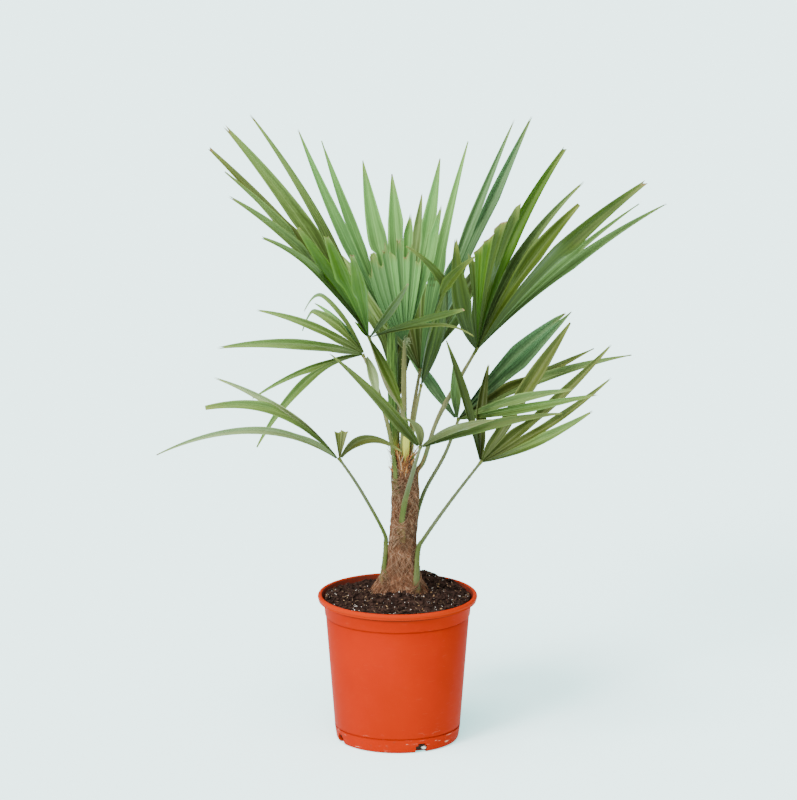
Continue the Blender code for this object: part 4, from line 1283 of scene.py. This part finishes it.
class PALM_OT_leaves(bpy.types.Operator):
    """Grow the fan leaves as pleated leaflets with dry tips"""

    bl_idname = "palm.leaves"
    bl_label = "Fan leaves"

    def execute(self, context):
        settings = context.scene.palm_leaves
        looks = self.looks(settings)
        for frond in FRONDS:
            keep(self.fan_leaf(frond, settings, looks), "leaf", f"{frond.name}_blade")
        keep(self.fan_leaf(TORN_FAN, settings, looks), "leaf")
        keep(self.tuft(Vector(TORN_FAN.hub)), "leaf")
        return {"FINISHED"}

    def tuft(self, hub):
        """Dried fibres that hang from the hub of the torn leaf."""
        shape = Shape()
        rng = random.Random(23)
        for number in range(34):
            point = hub + Vector((rng.uniform(-0.002, 0.005), -0.004, rng.uniform(-0.002, 0.008)))
            heading = Vector((rng.uniform(-0.7, 0.7), -0.3, rng.uniform(-1.0, 0.8)))
            path = []
            for knot in range(6):
                path.append(point.copy())
                heading += Vector((rng.uniform(-1, 1), 0.0, rng.uniform(-1, 0.6))) * 0.45
                point = point + heading.normalized() * 0.0014
            thread(shape, path, rng.uniform(0.0002, 0.0005), 0)
        return shape.make("dried_tuft", [fibre_finish("tuft_fibre", (0.13, 0.16, 0.06), (0.42, 0.46, 0.26))])

    def looks(self, settings):
        """The materials by tone. Each has a colour, a lighter one and how dark the painted shade at the hub
        makes it.
        """
        light = (0.168, 0.264, 0.068)
        dull = (0.5, 0.10)
        # Painted light and shade: deep, dark and shaded are darker copies of the leaf green, painted on
        # segments that lie in shade, and bright is a lighter copy, painted on segments that the light shines
        # through.
        tones = {
            "deep": (settings.deep, light, 0.45),
            "mid": (settings.mid, light),
            "dark": (shade(settings.deep, 1.1), (0.070, 0.108, 0.014), 0.6),
            "shaded": ((0.024, 0.036, 0.004), (0.050, 0.070, 0.011), 0.7),
            "olive": (settings.olive, (0.115, 0.140, 0.032)),
            "brownish": ((0.052, 0.058, 0.010), (0.085, 0.100, 0.022), 0.8),
            "bright": (settings.bright, (0.080, 0.150, 0.009), 0.45),
            "pale": (settings.pale, (0.190, 0.400, 0.100), 0.5, *dull),
            "folded": (shade(settings.pale, 0.8), (0.140, 0.270, 0.080), 0.6, *dull),
            "under": ((0.055, 0.090, 0.018), (0.165, 0.250, 0.078), 0.5, *dull),
            "bluish": (shade(settings.pale, 0.72), (0.140, 0.265, 0.105), 0.5, *dull),
            "worn": ((0.090, 0.092, 0.026), (0.160, 0.172, 0.060), 0.7, *dull),
            "silvery": ((0.150, 0.195, 0.070), (0.270, 0.350, 0.160), 0.5, *dull),
        }
        looks = {tone: leaf_finish(f"leaf_{tone}", *colours) for tone, colours in tones.items()}
        return {**looks, "dry": dry_finish()}

    def fan_leaf(self, frond, settings, looks):
        rng = random.Random(f"{frond.name} {settings.seed}")
        fan = Fan(frond)
        shape = Shape(2 * sum(fan.pleats))
        order = list(looks)
        drawn = {
            "deep": ("deep", "deep", "olive", "mid"),
            "mid": ("mid", "mid", "olive", "deep"),
            "pale": ("pale", "pale", "pale", "under"),
            "folded": ("folded", "folded", "folded", "pale"),
        }
        under = "mid" if frond.tone in ("pale", "folded") else "under"
        for i, count in enumerate(fan.pleats):
            tone = fan.segments[i].tone or rng.choice(drawn[frond.tone])
            wanted = [order.index(name) for name in (tone, under, tone, "dry")]
            for pleat in range(count):
                leaflet(shape, fan, i, pleat, rng, wanted)
        return shape.make(f"{frond.name}_fan", list(looks.values()), True)


class PALM_OT_spear(bpy.types.Operator):
    """Grow the folded young leaf in the middle of the crown"""

    bl_idname = "palm.spear"
    bl_label = "Young leaf"

    def execute(self, context):
        shape = Shape()
        self.folded(shape, SPEAR_POINTS, 7, 0)
        self.folded(shape, SHEATH_POINTS, 3, 1)
        looks = [self.skin("young_leaf", 0.375, 0.425), self.skin("young_sheath", 0.414, 0.436)]
        keep(shape.make("folded_young_leaf", looks), "young_leaf", "spear_leaf")
        return {"FINISHED"}

    def skin(self, name, low, high):
        """Yellow below the height low and green above the height high."""
        finish = Finish(name)
        streaks = finish.grain(600.0, (1.0, 1.0, 0.06), 2.0)
        green = finish.blend(streaks.step(0.3, 0.7), (0.022, 0.045, 0.005), (0.075, 0.135, 0.022))
        yellow = finish.blend(streaks, (0.26, 0.25, 0.020), (0.50, 0.46, 0.075))
        colour = finish.blend(finish.rise().step(low, high), yellow, green)
        return finish.done(colour, 0.42, 0.12, streaks, 0.3, 0.0006)

    def folded(self, shape, points, folds, look):
        """A rolled leaf with this many folds round a line of points."""
        rows = 70
        sides = folds * 4
        rings = []
        for number in range(rows + 1):
            centre, radius = through(points, number / rows)
            ring = []
            for k in range(sides):
                angle = TURN * k / sides
                size = radius * (1.0 + 0.16 * math.cos(angle * folds))
                ring.append(centre + Vector((math.cos(angle) * 1.05, math.sin(angle) * 0.8, 0.0)) * size)
            rings.append(ring)
        shape.loft(rings, look)


class PALM_OT_stage(bpy.types.Operator):
    """Set the plain floor, the soft lights and the camera"""

    bl_idname = "palm.stage"
    bl_label = "Studio"

    def execute(self, context):
        settings = context.scene.palm_stage
        self.floor(settings)
        self.lights(context)
        self.camera(context, settings)
        return {"FINISHED"}

    def floor(self, settings):
        shape = Shape()
        reach = 30.0
        shape.add([(-reach, -reach, 0.0), (reach, -reach, 0.0), (reach, reach, 0.0), (-reach, reach, 0.0)])
        shape.face((0, 1, 2, 3), 0)
        finish = Finish("floor_paper")
        colour = finish.blend(finish.grain(3.0), shade(settings.floor, 0.995), settings.floor)
        glow = {"Emission Color": (0.34, 1.0, 1.0), "Emission Strength": 1.1}
        floor = shape.make("studio_floor", [finish.done(colour, 0.9, 0.0, **glow)])

    def lights(self, context):
        world = bpy.data.worlds.new("studio_sky")
        world.use_nodes = True
        sky = world.node_tree.nodes["Background"]
        sky.inputs["Color"].default_value = (0.90, 0.96, 0.95, 1.0)
        sky.inputs["Strength"].default_value = 0.8
        context.scene.world = world
        for name, way, spread, power in (
            ("top_sun", (-0.2, -0.35, 1.0), 35.0, 5.0),
            ("key_sun", (-0.62, -0.82, 0.62), 18.0, 3.8),
        ):
            lamp = bpy.data.lights.new(name, "SUN")
            lamp.angle = math.radians(spread)
            lamp.energy = power
            made = bpy.data.objects.new(name, lamp)
            made.location = Vector(way) * 4.0
            made.rotation_euler = (-Vector(way)).to_track_quat("-Z", "Y").to_euler()
            context.scene.collection.objects.link(made)

    def camera(self, context, settings):
        """The photograph's viewpoint: a long lens a little above the crown's height."""
        frame_height = 800
        focal_pixels = 7654
        aim = Vector((0.0013, 0.0, 0.4585))
        away = Vector((0.0, -math.cos(settings.elevation), math.sin(settings.elevation)))
        lens = bpy.data.cameras.new("camera")
        lens.sensor_fit = "VERTICAL"
        lens.sensor_height = 36.0
        lens.lens = lens.sensor_height * focal_pixels / frame_height
        lens.clip_end = 200.0
        camera = bpy.data.objects.new("camera", lens)
        camera.location = aim + away * settings.distance
        camera.rotation_euler = (-away).to_track_quat("-Z", "Y").to_euler()
        context.scene.collection.objects.link(camera)
        context.scene.camera = camera


GROUPS = {
    "palm_pot": PotSettings,
    "palm_soil": SoilSettings,
    "palm_trunk": TrunkSettings,
    "palm_leaves": LeafSettings,
    "palm_stage": StageSettings,
}
OPERATORS = (
    PALM_OT_stage,
    PALM_OT_pot,
    PALM_OT_soil,
    PALM_OT_trunk,
    PALM_OT_stalks,
    PALM_OT_leaves,
    PALM_OT_spear,
)


class PALM_PT_panel(bpy.types.Panel):
    """Lists the pieces of the palm"""

    bl_idname = "PALM_PT_panel"
    bl_label = "Potted windmill palm"
    bl_space_type = "VIEW_3D"
    bl_region_type = "UI"
    bl_category = "Palm"

    def draw(self, context):
        for operator in OPERATORS:
            self.layout.operator(operator.bl_idname)
        for group, settings in GROUPS.items():
            box = self.layout.box()
            for name in settings.__annotations__:
                box.prop(getattr(context.scene, group), name)


def register():
    for group, settings in GROUPS.items():
        bpy.utils.register_class(settings)
        setattr(bpy.types.Scene, group, PointerProperty(type=settings))
    for operator in OPERATORS:
        bpy.utils.register_class(operator)
    bpy.utils.register_class(PALM_PT_panel)


def unregister():
    bpy.utils.unregister_class(PALM_PT_panel)
    for operator in reversed(OPERATORS):
        bpy.utils.unregister_class(operator)
    for group, settings in GROUPS.items():
        delattr(bpy.types.Scene, group)
        bpy.utils.unregister_class(settings)


def main():
    register()
    bpy.ops.palm.stage()
    bpy.ops.palm.pot()
    bpy.ops.palm.soil()
    bpy.ops.palm.trunk()
    bpy.ops.palm.stalks()
    bpy.ops.palm.leaves()
    bpy.ops.palm.spear()


if __name__ == "__main__":
    main()
